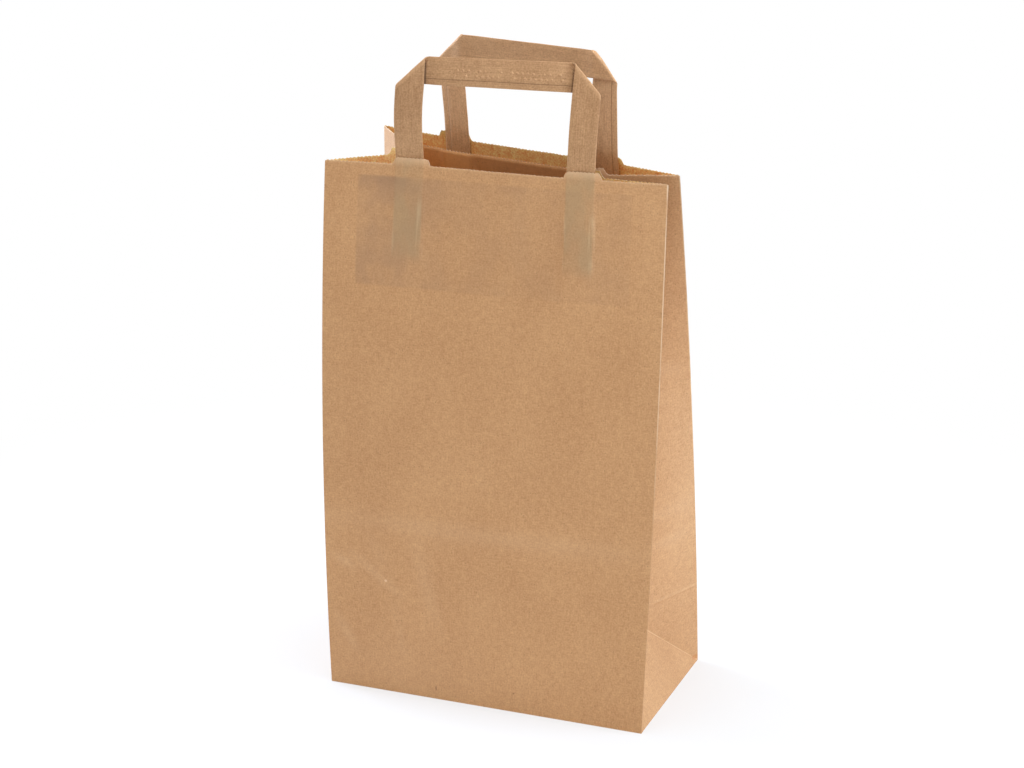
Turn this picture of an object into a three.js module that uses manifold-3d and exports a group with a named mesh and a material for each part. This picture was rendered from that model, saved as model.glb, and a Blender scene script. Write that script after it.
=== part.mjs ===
// A brown paper carrier bag with flat folded handles, standing open on its base.
// Units are millimetres and +Z is up. The origin is the middle of the base, and the front faces -Y.
// The bag is one folded sheet: two panels, two gussets with an inward crease, and a folded base.
// Each handle is one tape folded at 45 degrees at both corners. Its legs are glued inside the
// panel, under a patch.
import * as THREE from "three";
import { mergeVertices } from "three/addons/utils/BufferGeometryUtils.js";
import Module from "manifold-3d";

const wasm = await Module();
wasm.setup();

// The sheet
const bagWidth = 220;
const bagDepth = 120;
const bagHeight = 360;
const paperThickness = 0.3;
const toothPitch = 2.5;
const toothDepth = 0.9;

// How far each corner of the rim stands in from the base edge below it, and to the side
const frontSetbackLeft = 20.7;
const frontSetbackRight = 61;
const rearSetbackLeft = 11;
const rearSetbackRight = 45;
const frontSway = -7.5;
const rearSway = -4.3;

// The gussets: how far the low point of the crease is pushed in, and where the crease meets the rim
const creaseApexInset = 31;
const creaseSetbackLeft = 37;
const creaseSetbackRight = -1;
const gussetBulge = 7;

// How far the panels and the upright edges stand out from straight
const panelBulge = 2.5;
const rimBow = 2;
const edgeBulgeSide = 3;
const edgeBulgeRear = 8;

// Where, as shares of the height, the rim's bow starts and the gusset's bulge grows and fades
const rimBowFrom = 0.6;
const gussetBulgeFull = 0.4;
const gussetBulgeFade = 0.5;
const gussetBulgeEnd = 0.8;

// The raised tabs of the rim, behind each handle leg
const tabBaseWidth = 26;
const tabTopWidth = 21;
const tabHeight = 5;

// The folded base
const flapOverlap = 12;
const floorLayers = 3;

// The handles
const legSpacing = 112;
const tapeWidth = 18.2;
const tapeThickness = 0.6;
const tapeSeamInset = 4;
const tapeSeamStep = 0.15;
const handleHeight = 71;
const legTuck = 62;
const cornerFoldBand = 0.8;
const cornerFoldGap = 0.5;
const handleBend = 0.2;
const frontLeanLeft = 8;
const frontLeanRight = -9;
const frontHandleSway = 0.5;
const rearLeanLeft = 11;
const rearLeanRight = 24;
const rearHandleSway = -4;
const legBow = 2;

// The patches
const patchWidth = 178;
const patchTop = 8.5;
const patchBottom = 80;
const patchMargin = 1.5;
const patchRamp = 4;
const patchEdgeBand = 12;

// Glued layers keep this gap
const layerGap = 0.4;

// Mesh fineness
const panelColumns = 20;
const gussetColumns = 5;
const bodyRows = 9;
const rimBand = 14;
const rimFineness = 3;
const tapeStation = 12;

const kraft = { color: 0xc1946a, roughness: 0.85, metalness: 0 };
const kraftTape = { color: 0xb48d66, roughness: 0.8, metalness: 0 };
const kraftPatch = { color: 0xb88a60, roughness: 0.85, metalness: 0 };

const halfWidth = bagWidth / 2;
const halfDepth = bagDepth / 2;
const apexHeight = Math.sqrt(halfDepth ** 2 - creaseApexInset ** 2);
const apexShare = halfDepth / bagHeight;
const lowShares = [0, apexShare / 2, apexShare];
const up = new THREE.Vector3(0, 0, 1);

const clamp = THREE.MathUtils.clamp;
const lerp = THREE.MathUtils.lerp;
const smooth = (x, low, high) => THREE.MathUtils.smoothstep(x, low, high);

// One upright edge of the bag, as a function of the share s of the way from base to rim.
function uprightEdge(side, facing, rimX, setback, bulge) {
  const base = new THREE.Vector3(side * halfWidth, facing * halfDepth, 0);
  const shift = rimX - base.x;
  const rise = Math.sqrt(bagHeight ** 2 - setback ** 2 - shift ** 2);
  const rim = new THREE.Vector3(rimX, base.y - facing * setback, rise);
  return (s) => base.clone().lerp(rim, s).addScaledVector(bulge, 4 * s * (1 - s));
}

// A panel's two upright edges. Its rim keeps the sheet's width although it stands at a slant.
function makeWall(facing, setbackLeft, setbackRight, sway, bulgeLeft, bulgeRight, handle) {
  const slant = (setbackRight - setbackLeft) / 2;
  const halfSpan = Math.sqrt(halfWidth ** 2 - slant ** 2);
  return {
    facing,
    handle,
    left: uprightEdge(-1, facing, sway - halfSpan, setbackLeft, bulgeLeft),
    right: uprightEdge(1, facing, sway + halfSpan, setbackRight, bulgeRight),
  };
}

const front = makeWall(
  -1,
  frontSetbackLeft,
  frontSetbackRight,
  frontSway,
  new THREE.Vector3(-edgeBulgeSide, -edgeBulgeSide, 0),
  new THREE.Vector3(edgeBulgeSide / 2, 0, 0),
  { leanLeft: frontLeanLeft, leanRight: frontLeanRight, sway: frontHandleSway },
);
const rear = makeWall(
  1,
  rearSetbackLeft,
  rearSetbackRight,
  rearSway,
  new THREE.Vector3(-edgeBulgeSide, edgeBulgeSide, 0),
  new THREE.Vector3(0, edgeBulgeRear, 0),
  { leanLeft: rearLeanLeft, leanRight: rearLeanRight, sway: rearHandleSway },
);

// A point of a panel's middle surface: u runs from left to right and s from base to rim.
function panelPoint(wall, u, s) {
  const point = wall.left(s).lerp(wall.right(s), u);
  const body = panelBulge * Math.sin(Math.PI * u) * 4 * s * (1 - s);
  const rim = rimBow * Math.sin(2 * Math.PI * u) * smooth(s, rimBowFrom, 1);
  point.y += wall.facing * (body - rim);
  return point;
}

// The crease of one gusset. Below its low point the two halves end on the diagonal folds.
function creasePoint(side, wall, s) {
  const apex = new THREE.Vector3(side * (halfWidth - creaseApexInset), 0, apexHeight);
  const edge = side < 0 ? wall.left : wall.right;
  if (s <= apexShare) return edge(0).lerp(apex, s / apexShare);
  const corner = side < 0 ? front.left(1) : front.right(1);
  const setback = side < 0 ? creaseSetbackLeft : creaseSetbackRight;
  const reach = Math.sqrt(halfDepth ** 2 - setback ** 2);
  const top = new THREE.Vector3(corner.x - side * reach, corner.y + setback, corner.z);
  return apex.lerp(top, (s - apexShare) / (1 - apexShare));
}

// A point of one half of a gusset: v runs from the upright edge to the crease.
// The rear halves bulge outwards at mid height.
function gussetPoint(side, wall, v, s) {
  const edge = (side < 0 ? wall.left : wall.right)(s);
  const crease = creasePoint(side, wall, s);
  const along = new THREE.Vector3().subVectors(crease, edge).multiplyScalar(-wall.facing);
  const out = along.cross(up).setZ(0).normalize().multiplyScalar(side);
  const grown = smooth(s, apexShare, gussetBulgeFull);
  const faded = smooth(s, gussetBulgeFade, gussetBulgeEnd);
  const most = wall === rear ? gussetBulge : 0;
  const bulge = most * grown * (1 - faded) * Math.sin(Math.PI * v);
  return edge.lerp(crease, v).addScaledVector(out, bulge);
}

// The height of the cut above the rim line, a distance across from the panel's middle.
// A gusset half was cut together with the panel that it lay on, so it has the same tabs.
function tabRise(across) {
  const away = Math.abs(Math.abs(across) - legSpacing / 2);
  const ramp = (tabBaseWidth - tabTopWidth) / 2;
  return tabHeight * clamp((tabBaseWidth / 2 - away) / ramp, 0, 1);
}

// The positions of the serrated cut along a length, from valley to valley.
function toothSteps(length) {
  const count = 2 * Math.max(1, Math.round(length / toothPitch));
  return Array.from({ length: count + 1 }, (_, i) => ({
    share: i / count,
    drop: i % 2 ? 0 : toothDepth,
  }));
}

const evenSteps = (count) => Array.from({ length: count + 1 }, (_, i) => i / count);

// Even stations along a tape, from one position to another.
function spaced(from, to) {
  const count = Math.max(2, Math.round((to - from) / tapeStation));
  return evenSteps(count).map((k) => lerp(from, to, k));
}

// Triangles between two rows of points, which may have different numbers of points.
// Each step takes the shorter of the two possible diagonals.
function zipRows(low, high, triangles) {
  let i = 0;
  let j = 0;
  while (i < low.length - 1 || j < high.length - 1) {
    const lowCost = i < low.length - 1 ? low[i + 1].distanceTo(high[j]) : Infinity;
    const highCost = j < high.length - 1 ? low[i].distanceTo(high[j + 1]) : Infinity;
    if (lowCost <= highCost) {
      triangles.push(low[i], low[i + 1], high[j]);
      i += 1;
    } else {
      triangles.push(low[i], high[j + 1], high[j]);
      j += 1;
    }
  }
}

// An open sheet from stacked rows of points, as a flat list of triangle corners.
function sheetFromRows(rows) {
  const triangles = [];
  for (let k = 1; k < rows.length; k += 1) zipRows(rows[k - 1], rows[k], triangles);
  return triangles;
}

// A merged, indexed geometry from a flat list of triangle corners, without empty triangles.
function indexed(corners) {
  const flat = new Float32Array(corners.flatMap((p) => p.toArray()));
  const loose = new THREE.BufferGeometry();
  loose.setAttribute("position", new THREE.BufferAttribute(flat, 3));
  const merged = mergeVertices(loose, 1e-3);
  const index = merged.index.array;
  const kept = [];
  for (let i = 0; i < index.length; i += 3) {
    const [a, b, c] = [index[i], index[i + 1], index[i + 2]];
    if (a !== b && b !== c && c !== a) kept.push(a, b, c);
  }
  merged.setIndex(kept);
  return merged;
}

// The offset of one vertex that keeps every face around it at unit distance, by least squares.
function mitre(normals) {
  const mean = normals.reduce((sum, n) => sum.add(n), new THREE.Vector3()).normalize();
  const pull = 1e-3;
  const m = new THREE.Matrix3().set(pull, 0, 0, 0, pull, 0, 0, 0, pull);
  const right = mean.clone().multiplyScalar(pull);
  for (const n of normals) {
    const [x, y, z] = n.toArray();
    const e = m.elements;
    [x * x, x * y, x * z, y * x, y * y, y * z, z * x, z * y, z * z].forEach((value, i) => {
      e[i] += value;
    });
    right.add(n);
  }
  return right.applyMatrix3(m.invert());
}

// A closed solid from an open sheet: the sheet is its middle surface.
function thicken(corners, thickness) {
  const sheet = indexed(corners);
  const place = sheet.getAttribute("position");
  const index = Array.from(sheet.index.array);
  const points = Array.from({ length: place.count }, (_, i) =>
    new THREE.Vector3().fromBufferAttribute(place, i),
  );
  const around = points.map(() => []);
  const edges = new Map();
  for (let i = 0; i < index.length; i += 3) {
    const [a, b, c] = index.slice(i, i + 3);
    const normal = new THREE.Triangle(points[a], points[b], points[c]).getNormal(
      new THREE.Vector3(),
    );
    [a, b, c].forEach((v) => around[v].push(normal));
    [[a, b], [b, c], [c, a]].forEach(([p, q]) => {
      if (!edges.delete(q + "/" + p)) edges.set(p + "/" + q, [p, q]);
    });
  }
  const half = thickness / 2;
  const offsets = around.map((normals) => mitre(normals).multiplyScalar(half));
  const outer = points.map((p, i) => p.clone().add(offsets[i]));
  const inner = points.map((p, i) => p.clone().sub(offsets[i]));
  const triangles = [];
  for (let i = 0; i < index.length; i += 3) {
    const [a, b, c] = index.slice(i, i + 3);
    triangles.push(outer[a], outer[b], outer[c], inner[a], inner[c], inner[b]);
  }
  for (const [p, q] of edges.values()) {
    triangles.push(outer[p], inner[p], inner[q], outer[p], inner[q], outer[q]);
  }
  return triangles;
}

// A solid for joining and cutting, from a closed list of triangle corners.
function solidOf(corners) {
  const g = indexed(corners);
  return new wasm.Manifold(
    new wasm.Mesh({
      numProp: 3,
      vertProperties: g.getAttribute("position").array,
      triVerts: new Uint32Array(g.index.array),
    }),
  );
}

// The triangle corners of a straight prism over an outline, from one height to another.
function prism(shape, low, high) {
  const g = new THREE.ExtrudeGeometry(shape, { depth: high - low, bevelEnabled: false });
  g.translate(0, 0, low);
  const flat = g.index ? g.toNonIndexed() : g;
  const place = flat.getAttribute("position");
  return Array.from({ length: place.count }, (_, i) =>
    new THREE.Vector3().fromBufferAttribute(place, i),
  );
}

function geometryOf(solid) {
  const { numProp, numVert, vertProperties, triVerts } = solid.getMesh();
  const flat = new Float32Array(numVert * 3);
  for (let i = 0; i < numVert; i += 1) {
    flat.set(vertProperties.subarray(i * numProp, i * numProp + 3), i * 3);
  }
  const g = new THREE.BufferGeometry();
  g.setAttribute("position", new THREE.BufferAttribute(flat, 3));
  g.setIndex(new THREE.BufferAttribute(triVerts, 1));
  g.computeVertexNormals();
  return g;
}

// The rows of every face of the bag's tube, each seen from outside, from left to right.
// Each face gives the points at a share s of the height, and its serrated cut at the rim.
function tubeFaces() {
  const panel = (wall, flip) => ({
    columns: panelColumns,
    row: (s, columns) =>
      evenSteps(columns).map((u) => panelPoint(wall, flip ? 1 - u : u, s)),
    cut: () =>
      toothSteps(bagWidth).map(({ share, drop }) => {
        const u = flip ? 1 - share : share;
        return panelPoint(wall, u, 1 + (tabRise((u - 0.5) * bagWidth) - drop) / bagHeight);
      }),
  });
  const gussetHalf = (side, wall, flip) => ({
    columns: gussetColumns,
    row: (s, columns) =>
      evenSteps(columns).map((v) => gussetPoint(side, wall, flip ? 1 - v : v, s)),
    cut: () =>
      toothSteps(halfDepth).map(({ share, drop }) => {
        const v = flip ? 1 - share : share;
        const rise = tabRise(halfWidth - v * halfDepth) - drop;
        return gussetPoint(side, wall, v, 1 + rise / bagHeight);
      }),
  });
  return [
    panel(front, false),
    gussetHalf(1, front, false),
    gussetHalf(1, rear, true),
    panel(rear, true),
    gussetHalf(-1, rear, false),
    gussetHalf(-1, front, true),
  ];
}

// The low triangle of a side wall, between the base edge and the diagonal folds.
function lowTriangle(side) {
  return lowShares.map((s) => {
    const pair = [creasePoint(side, front, s), creasePoint(side, rear, s)];
    return side > 0 ? pair : pair.reverse();
  });
}

// The tube's rows. The last row below the rim has more columns, to meet the serrated cut.
function tubeSheet() {
  const bandShare = 1 - rimBand / bagHeight;
  const upper = evenSteps(bodyRows).map((k) => lerp(apexShare, bandShare, k));
  const shares = [...lowShares, ...upper.slice(1, -1)];
  const faces = tubeFaces().flatMap(({ columns, row, cut }) =>
    sheetFromRows([
      ...shares.map((s) => row(s, columns)),
      row(bandShare, rimFineness * columns),
      cut(),
    ]),
  );
  const ends = [-1, 1].flatMap((side) => sheetFromRows(lowTriangle(side)));
  return [...faces, ...ends];
}

// The base's glued layers. The slab's ends follow the low triangles between the diagonal folds.
function floorSlab() {
  const waist = 0.5;
  const outline = [
    [-1, -1],
    [1, -1],
    [waist, -waist],
    [waist, waist],
    [1, 1],
    [-1, 1],
    [-waist, waist],
    [-waist, -waist],
  ];
  const level = (z) => (x, y) => {
    const climb = Math.abs(x) < 1 ? z / apexHeight : 0;
    const end = halfWidth - creaseApexInset * climb;
    return new THREE.Vector3(Math.sign(x) * end, Math.sign(y) * halfDepth * (1 - climb), z);
  };
  return ribbon(outline, [level(0), level(floorLayers * paperThickness)], false);
}

// The base's outer flap: it ends in a serrated cut, past the middle, between 45 degree folds.
function outerFlap() {
  const reach = halfDepth + flapOverlap;
  const endX = halfWidth - reach;
  const shape = new THREE.Shape();
  const past = paperThickness;
  shape.moveTo(-halfWidth - past, -halfDepth - past);
  shape.lineTo(halfWidth + past, -halfDepth - past);
  toothSteps(2 * endX).forEach(({ share, drop }) => {
    shape.lineTo(lerp(endX, -endX, share), flapOverlap - drop);
  });
  shape.closePath();
  return shape;
}

// What lies beyond the flaps on the base is one or two layers higher than the outer flap.
function baseCuts() {
  const clear = 10;
  const aside = new THREE.Shape();
  aside.moveTo(-halfWidth - clear, -halfDepth - clear);
  aside.lineTo(halfWidth + clear, -halfDepth - clear);
  aside.lineTo(halfWidth + clear, halfDepth + clear);
  aside.lineTo(-halfWidth - clear, halfDepth + clear);
  aside.closePath();
  const flap = solidOf(prism(outerFlap(), 0, clear));
  const beyond = solidOf(prism(aside, -clear, paperThickness)).subtract(flap);
  const ends = [-1, 1].map((side) => {
    const tip = new THREE.Shape();
    tip.moveTo(side * (halfWidth - halfDepth), 0);
    tip.lineTo(side * (halfWidth + clear), -halfDepth - clear);
    tip.lineTo(side * (halfWidth + clear), halfDepth + clear);
    tip.closePath();
    return solidOf(prism(tip, -clear, 2 * paperThickness));
  });
  return ends.reduce((all, end) => all.add(end), beyond);
}

function bagBody() {
  const tube = solidOf(thicken(tubeSheet(), paperThickness));
  return tube.add(floorSlab()).subtract(baseCuts());
}

// The middle surface of a panel, carried on past the rim along the handle.
// across runs from the panel's middle, and rise from the rim line, in millimetres.
// Above its tab the handle turns away from the panel's plane, and its legs bow.
function handleSurface(wall, across, rise) {
  const u = 0.5 + across / bagWidth;
  if (rise <= 0) return panelPoint(wall, u, 1 + rise / bagHeight);
  const rim = panelPoint(wall, u, 1);
  const step = 1e-3;
  const climb = rim.clone().sub(panelPoint(wall, u, 1 - step)).normalize();
  const share = Math.max(0, rise - tabHeight) / (handleHeight - tabHeight);
  const turned = (share ** 2 * (1 + handleBend)) / (share + handleBend);
  const leanShare = clamp(0.5 + across / legSpacing, 0, 1);
  const lean = lerp(wall.handle.leanLeft, wall.handle.leanRight, leanShare);
  const bow = 4 * turned * (1 - share) * legBow;
  const point = rim.addScaledVector(climb, rise);
  point.x += wall.handle.sway * turned;
  point.y += wall.facing * (lean * turned + bow);
  return point;
}

// A point that stands a distance out from that surface, measured square to it.
function layerPoint(wall, across, rise, out) {
  const step = 0.5;
  const point = handleSurface(wall, across, rise);
  const climb = point.clone().sub(handleSurface(wall, across, rise - step));
  const right = handleSurface(wall, across + step, rise);
  const side = right.sub(handleSurface(wall, across - step, rise));
  const normal = side.cross(climb).normalize().multiplyScalar(-wall.facing);
  return point.addScaledVector(normal, out);
}

// A closed ribbon: a section swept through stations. Each station maps a section point to space.
function ribbon(section, stations, flip) {
  const rings = stations.map((place) => section.map(([b, y]) => place(b, y)));
  const triangles = [];
  const add = (a, b, c) => triangles.push(...(flip ? [a, c, b] : [a, b, c]));
  for (let k = 1; k < rings.length; k += 1) {
    section.forEach((_, i) => {
      const j = (i + 1) % section.length;
      add(rings[k - 1][i], rings[k - 1][j], rings[k][j]);
      add(rings[k - 1][i], rings[k][j], rings[k][i]);
    });
  }
  const outline = section.map(([b, y]) => new THREE.Vector2(b, y));
  const last = rings.length - 1;
  THREE.ShapeUtils.triangulateShape(outline, []).forEach(([a, b, c]) => {
    add(rings[0][a], rings[0][c], rings[0][b]);
    add(rings[last][a], rings[last][b], rings[last][c]);
  });
  const solid = solidOf(triangles);
  return solid.volume() < 0 ? ribbon(section, stations, !flip) : solid;
}

// The tape's section: its width b from the seam side, and its depth y from the plain face.
// The tape's last flap stops short of one edge, which leaves a step on the seamed face.
const tapeSection = [
  [0, 0],
  [tapeWidth, 0],
  [tapeWidth, tapeThickness],
  [tapeSeamInset, tapeThickness],
  [tapeSeamInset, tapeThickness - tapeSeamStep],
  [0, tapeThickness - tapeSeamStep],
];
const legFace = -paperThickness / 2 - layerGap;
const barFace = legFace - 2 * tapeThickness - cornerFoldGap;
const handleHalf = (legSpacing + tapeWidth) / 2;
const shoulder = handleHeight - tapeWidth;

// A leg runs from its glued end up to the corner fold. Its plain face is the outer one.
function handleLeg(wall, side) {
  const place = (b, y, rise) => layerPoint(wall, side * (handleHalf - b), rise, legFace - y);
  const stations = [...spaced(-legTuck, tabHeight), ...spaced(tabHeight, shoulder).slice(1)]
    .slice(0, -1)
    .map((rise) => (b, y) => place(b, y, rise));
  stations.push((b, y) => place(b, y, shoulder + b));
  return ribbon(tapeSection, stations, false);
}

// The bar lies on the inner side of the legs, turned over, so its seam is low and faces out.
function handleBar(wall) {
  const inner = handleHalf - tapeWidth - cornerFoldBand;
  const upright = spaced(-inner, inner).map((across) => (b, y) =>
    layerPoint(wall, across, shoulder + b, barFace + y),
  );
  const slanted = (side) => (b, y) =>
    layerPoint(wall, side * (handleHalf - b), shoulder + b, barFace + y);
  return ribbon(tapeSection, [slanted(-1), ...upright, slanted(1)], false);
}

// The folded edge at a corner joins the two layers along the 45 degree line.
function cornerFold(wall, side) {
  const band = cornerFoldBand * Math.SQRT1_2;
  const section = [
    [0, legFace],
    [0, barFace],
    [band, barFace],
    [band, legFace],
  ];
  const count = 2;
  const stations = evenSteps(count).map((k) => {
    const b = lerp(band, tapeWidth - band, k);
    return (c, out) => layerPoint(wall, side * (handleHalf - b - c), shoulder + b - c, out);
  });
  return ribbon(section, stations, false);
}

function handle(wall) {
  const parts = [-1, 1].flatMap((side) => [handleLeg(wall, side), cornerFold(wall, side)]);
  return parts.reduce((all, part) => all.add(part), handleBar(wall));
}

// A patch lies on its panel, and rises over each handle leg.
function patch(wall) {
  const flat = -paperThickness - layerGap;
  const raised = legFace - tapeThickness - layerGap - paperThickness / 2;
  const edge = tapeWidth / 2 + patchMargin;
  const legEnd = legTuck + patchMargin;
  const over = (across, drop) => {
    const away = Math.abs(Math.abs(across) - legSpacing / 2) - edge;
    const beside = 1 - clamp(away / patchRamp, 0, 1);
    const below = 1 - clamp((drop - legEnd) / patchRamp, 0, 1);
    return Math.min(beside, below);
  };
  const place = (across, drop) =>
    layerPoint(wall, across, -drop, lerp(flat, raised, over(across, drop)));
  const half = patchWidth / 2;
  const centre = legSpacing / 2;
  const kinks = [half, centre + edge + patchRamp, centre + edge, centre];
  const inside = [centre - edge, centre - edge - patchRamp, (centre - edge) / 2];
  const right = [...kinks, ...inside].sort((a, b) => a - b);
  const columns = [...right.map((x) => -x).reverse(), 0, ...right];
  const teeth = toothSteps(patchWidth);
  const cut = (drop, sign) =>
    teeth.map((t) => place(lerp(-half, half, t.share), drop + sign * t.drop));
  const span = (a, b, count) => evenSteps(count).map((k) => lerp(a, b, k));
  const drops = [legEnd + patchRamp, ...span(legEnd, patchTop + patchEdgeBand, 3)];
  const rows = [cut(patchBottom, -1), ...drops.map((d) => columns.map((x) => place(x, d)))];
  rows.push(cut(patchTop, 1));
  const seen = wall.facing < 0 ? rows : rows.map((row) => row.slice().reverse());
  return solidOf(thicken(sheetFromRows(seen), paperThickness));
}

function piece(name, solid, look) {
  const mesh = new THREE.Mesh(geometryOf(solid), new THREE.MeshStandardMaterial(look));
  mesh.name = name;
  return mesh;
}

const bag = new THREE.Group();
bag.add(
  piece("bag_body", bagBody(), kraft),
  piece("front_handle", handle(front), kraftTape),
  piece("rear_handle", handle(rear), kraftTape),
  piece("front_handle_patch", patch(front), kraftPatch),
  piece("rear_handle_patch", patch(rear), kraftPatch),
);

export default bag;
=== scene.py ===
"""A brown paper carrier bag with flat folded handles, dressed for a studio picture.

The bag stands open on its folded base. Its sheet, its two folded tapes and the two patches that
hold the tapes are rebuilt here as fine meshes round the fixed frame, with procedural paper.
Lengths are in metres, +Z is up and the front panel faces -Y.
"""

import logging
import math
from collections.abc import Callable
from dataclasses import dataclass, field, replace
from enum import Enum

import bmesh
import bpy
import numpy as np
from mathutils import Matrix, Vector, noise


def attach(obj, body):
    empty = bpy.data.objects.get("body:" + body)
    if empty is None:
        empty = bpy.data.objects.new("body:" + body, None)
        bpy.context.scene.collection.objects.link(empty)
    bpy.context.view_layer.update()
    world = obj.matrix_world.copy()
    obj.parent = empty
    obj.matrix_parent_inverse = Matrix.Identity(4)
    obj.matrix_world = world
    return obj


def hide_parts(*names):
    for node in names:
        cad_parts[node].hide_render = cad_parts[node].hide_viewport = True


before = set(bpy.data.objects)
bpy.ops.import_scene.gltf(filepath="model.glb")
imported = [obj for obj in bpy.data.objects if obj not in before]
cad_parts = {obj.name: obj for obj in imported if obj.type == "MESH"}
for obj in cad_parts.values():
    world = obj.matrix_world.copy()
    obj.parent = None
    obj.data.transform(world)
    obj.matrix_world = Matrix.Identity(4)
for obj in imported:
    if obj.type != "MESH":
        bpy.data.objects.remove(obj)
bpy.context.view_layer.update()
BODY = "root"
MM = 0.001
RANGE_INPUTS = ("From Min", "From Max", "To Min", "To Max")

log = logging.getLogger("paper_bag")

Array = np.ndarray
Socket = bpy.types.NodeSocket
# Gives points and their heights, from shares of a length, heights above the base and notches.
Placer = Callable[[Array, Array | None, Array], tuple[Array, Array]]


class Side(Enum):
    """A side of the bag, with the sign of the axis that it faces."""

    FRONT = -1
    REAR = 1
    LEFT = -2
    RIGHT = 2

    @property
    def sign(self) -> int:
        """Returns -1 for front and left, and 1 for rear and right."""
        return 1 if self.value > 0 else -1


def smooth(x: Array, low: float, high: float) -> Array:
    """Eases from 0 to 1 between two limits.

    Args:
        x: The values to ease.
        low: The value at which the result leaves 0.
        high: The value at which the result reaches 1.

    Returns:
        The eased values.
    """
    t = np.clip((np.asarray(x, float) - low) / (high - low), 0.0, 1.0)
    return t * t * (3.0 - 2.0 * t)


def unit(v: Array) -> Array:
    """Returns the vectors of an array, scaled to length 1."""
    return v / np.maximum(np.linalg.norm(v, axis=-1, keepdims=True), 1e-12)


def ripple(u: Array, v: Array, size: float, seed: float) -> Array:
    """Smooth noise over the flat sheet.

    Args:
        u: Places across the sheet.
        v: Places up the sheet, of the same shape.
        size: The distance over which the noise changes.
        seed: A number that picks another pattern.

    Returns:
        Values from about -1 to 1, in the shape of u.
    """
    flat = [
        noise.noise(Vector((a / size, b / size, seed)))
        for a, b in zip(np.ravel(u), np.ravel(v))
    ]
    return np.array(flat).reshape(np.shape(u))


def add_object(name: str, data: bpy.types.ID) -> bpy.types.Object:
    """Returns a new object with the given data, linked to the scene."""
    made = bpy.data.objects.new(name, data)
    bpy.context.collection.objects.link(made)
    return made


@dataclass(frozen=True)
class Wall:
    """One panel's stance: how its rim stands against its base, and how its handle leans.

    A setback is how far the rim's end stands in from the base edge, a bulge is how far an
    upright edge bows in x and y, and a foot is how far a leg is glued off its nominal place.
    """

    side: Side
    setback_left: float
    setback_right: float
    sway: float
    bulge_left: tuple[float, float]
    bulge_right: tuple[float, float]
    lean_left: float
    lean_right: float
    handle_sway: float
    foot_left: float = 0.0
    foot_right: float = 0.0
    tab_shift: float = 0.0
    leg_curve: float = 0.0
    bar_reach: float = 0.0

    def foot(self, across: Array) -> Array:
        """Returns how far the leg on that half is glued to the right of its nominal place."""
        return np.where(np.asarray(across) < 0, self.foot_left, self.foot_right)

    def leg_middle(self, across: Array, spacing: float) -> Array:
        """Returns where the middle of the leg on that half is glued."""
        return np.where(np.asarray(across) < 0, -spacing / 2, spacing / 2) + self.foot(across)


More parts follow.
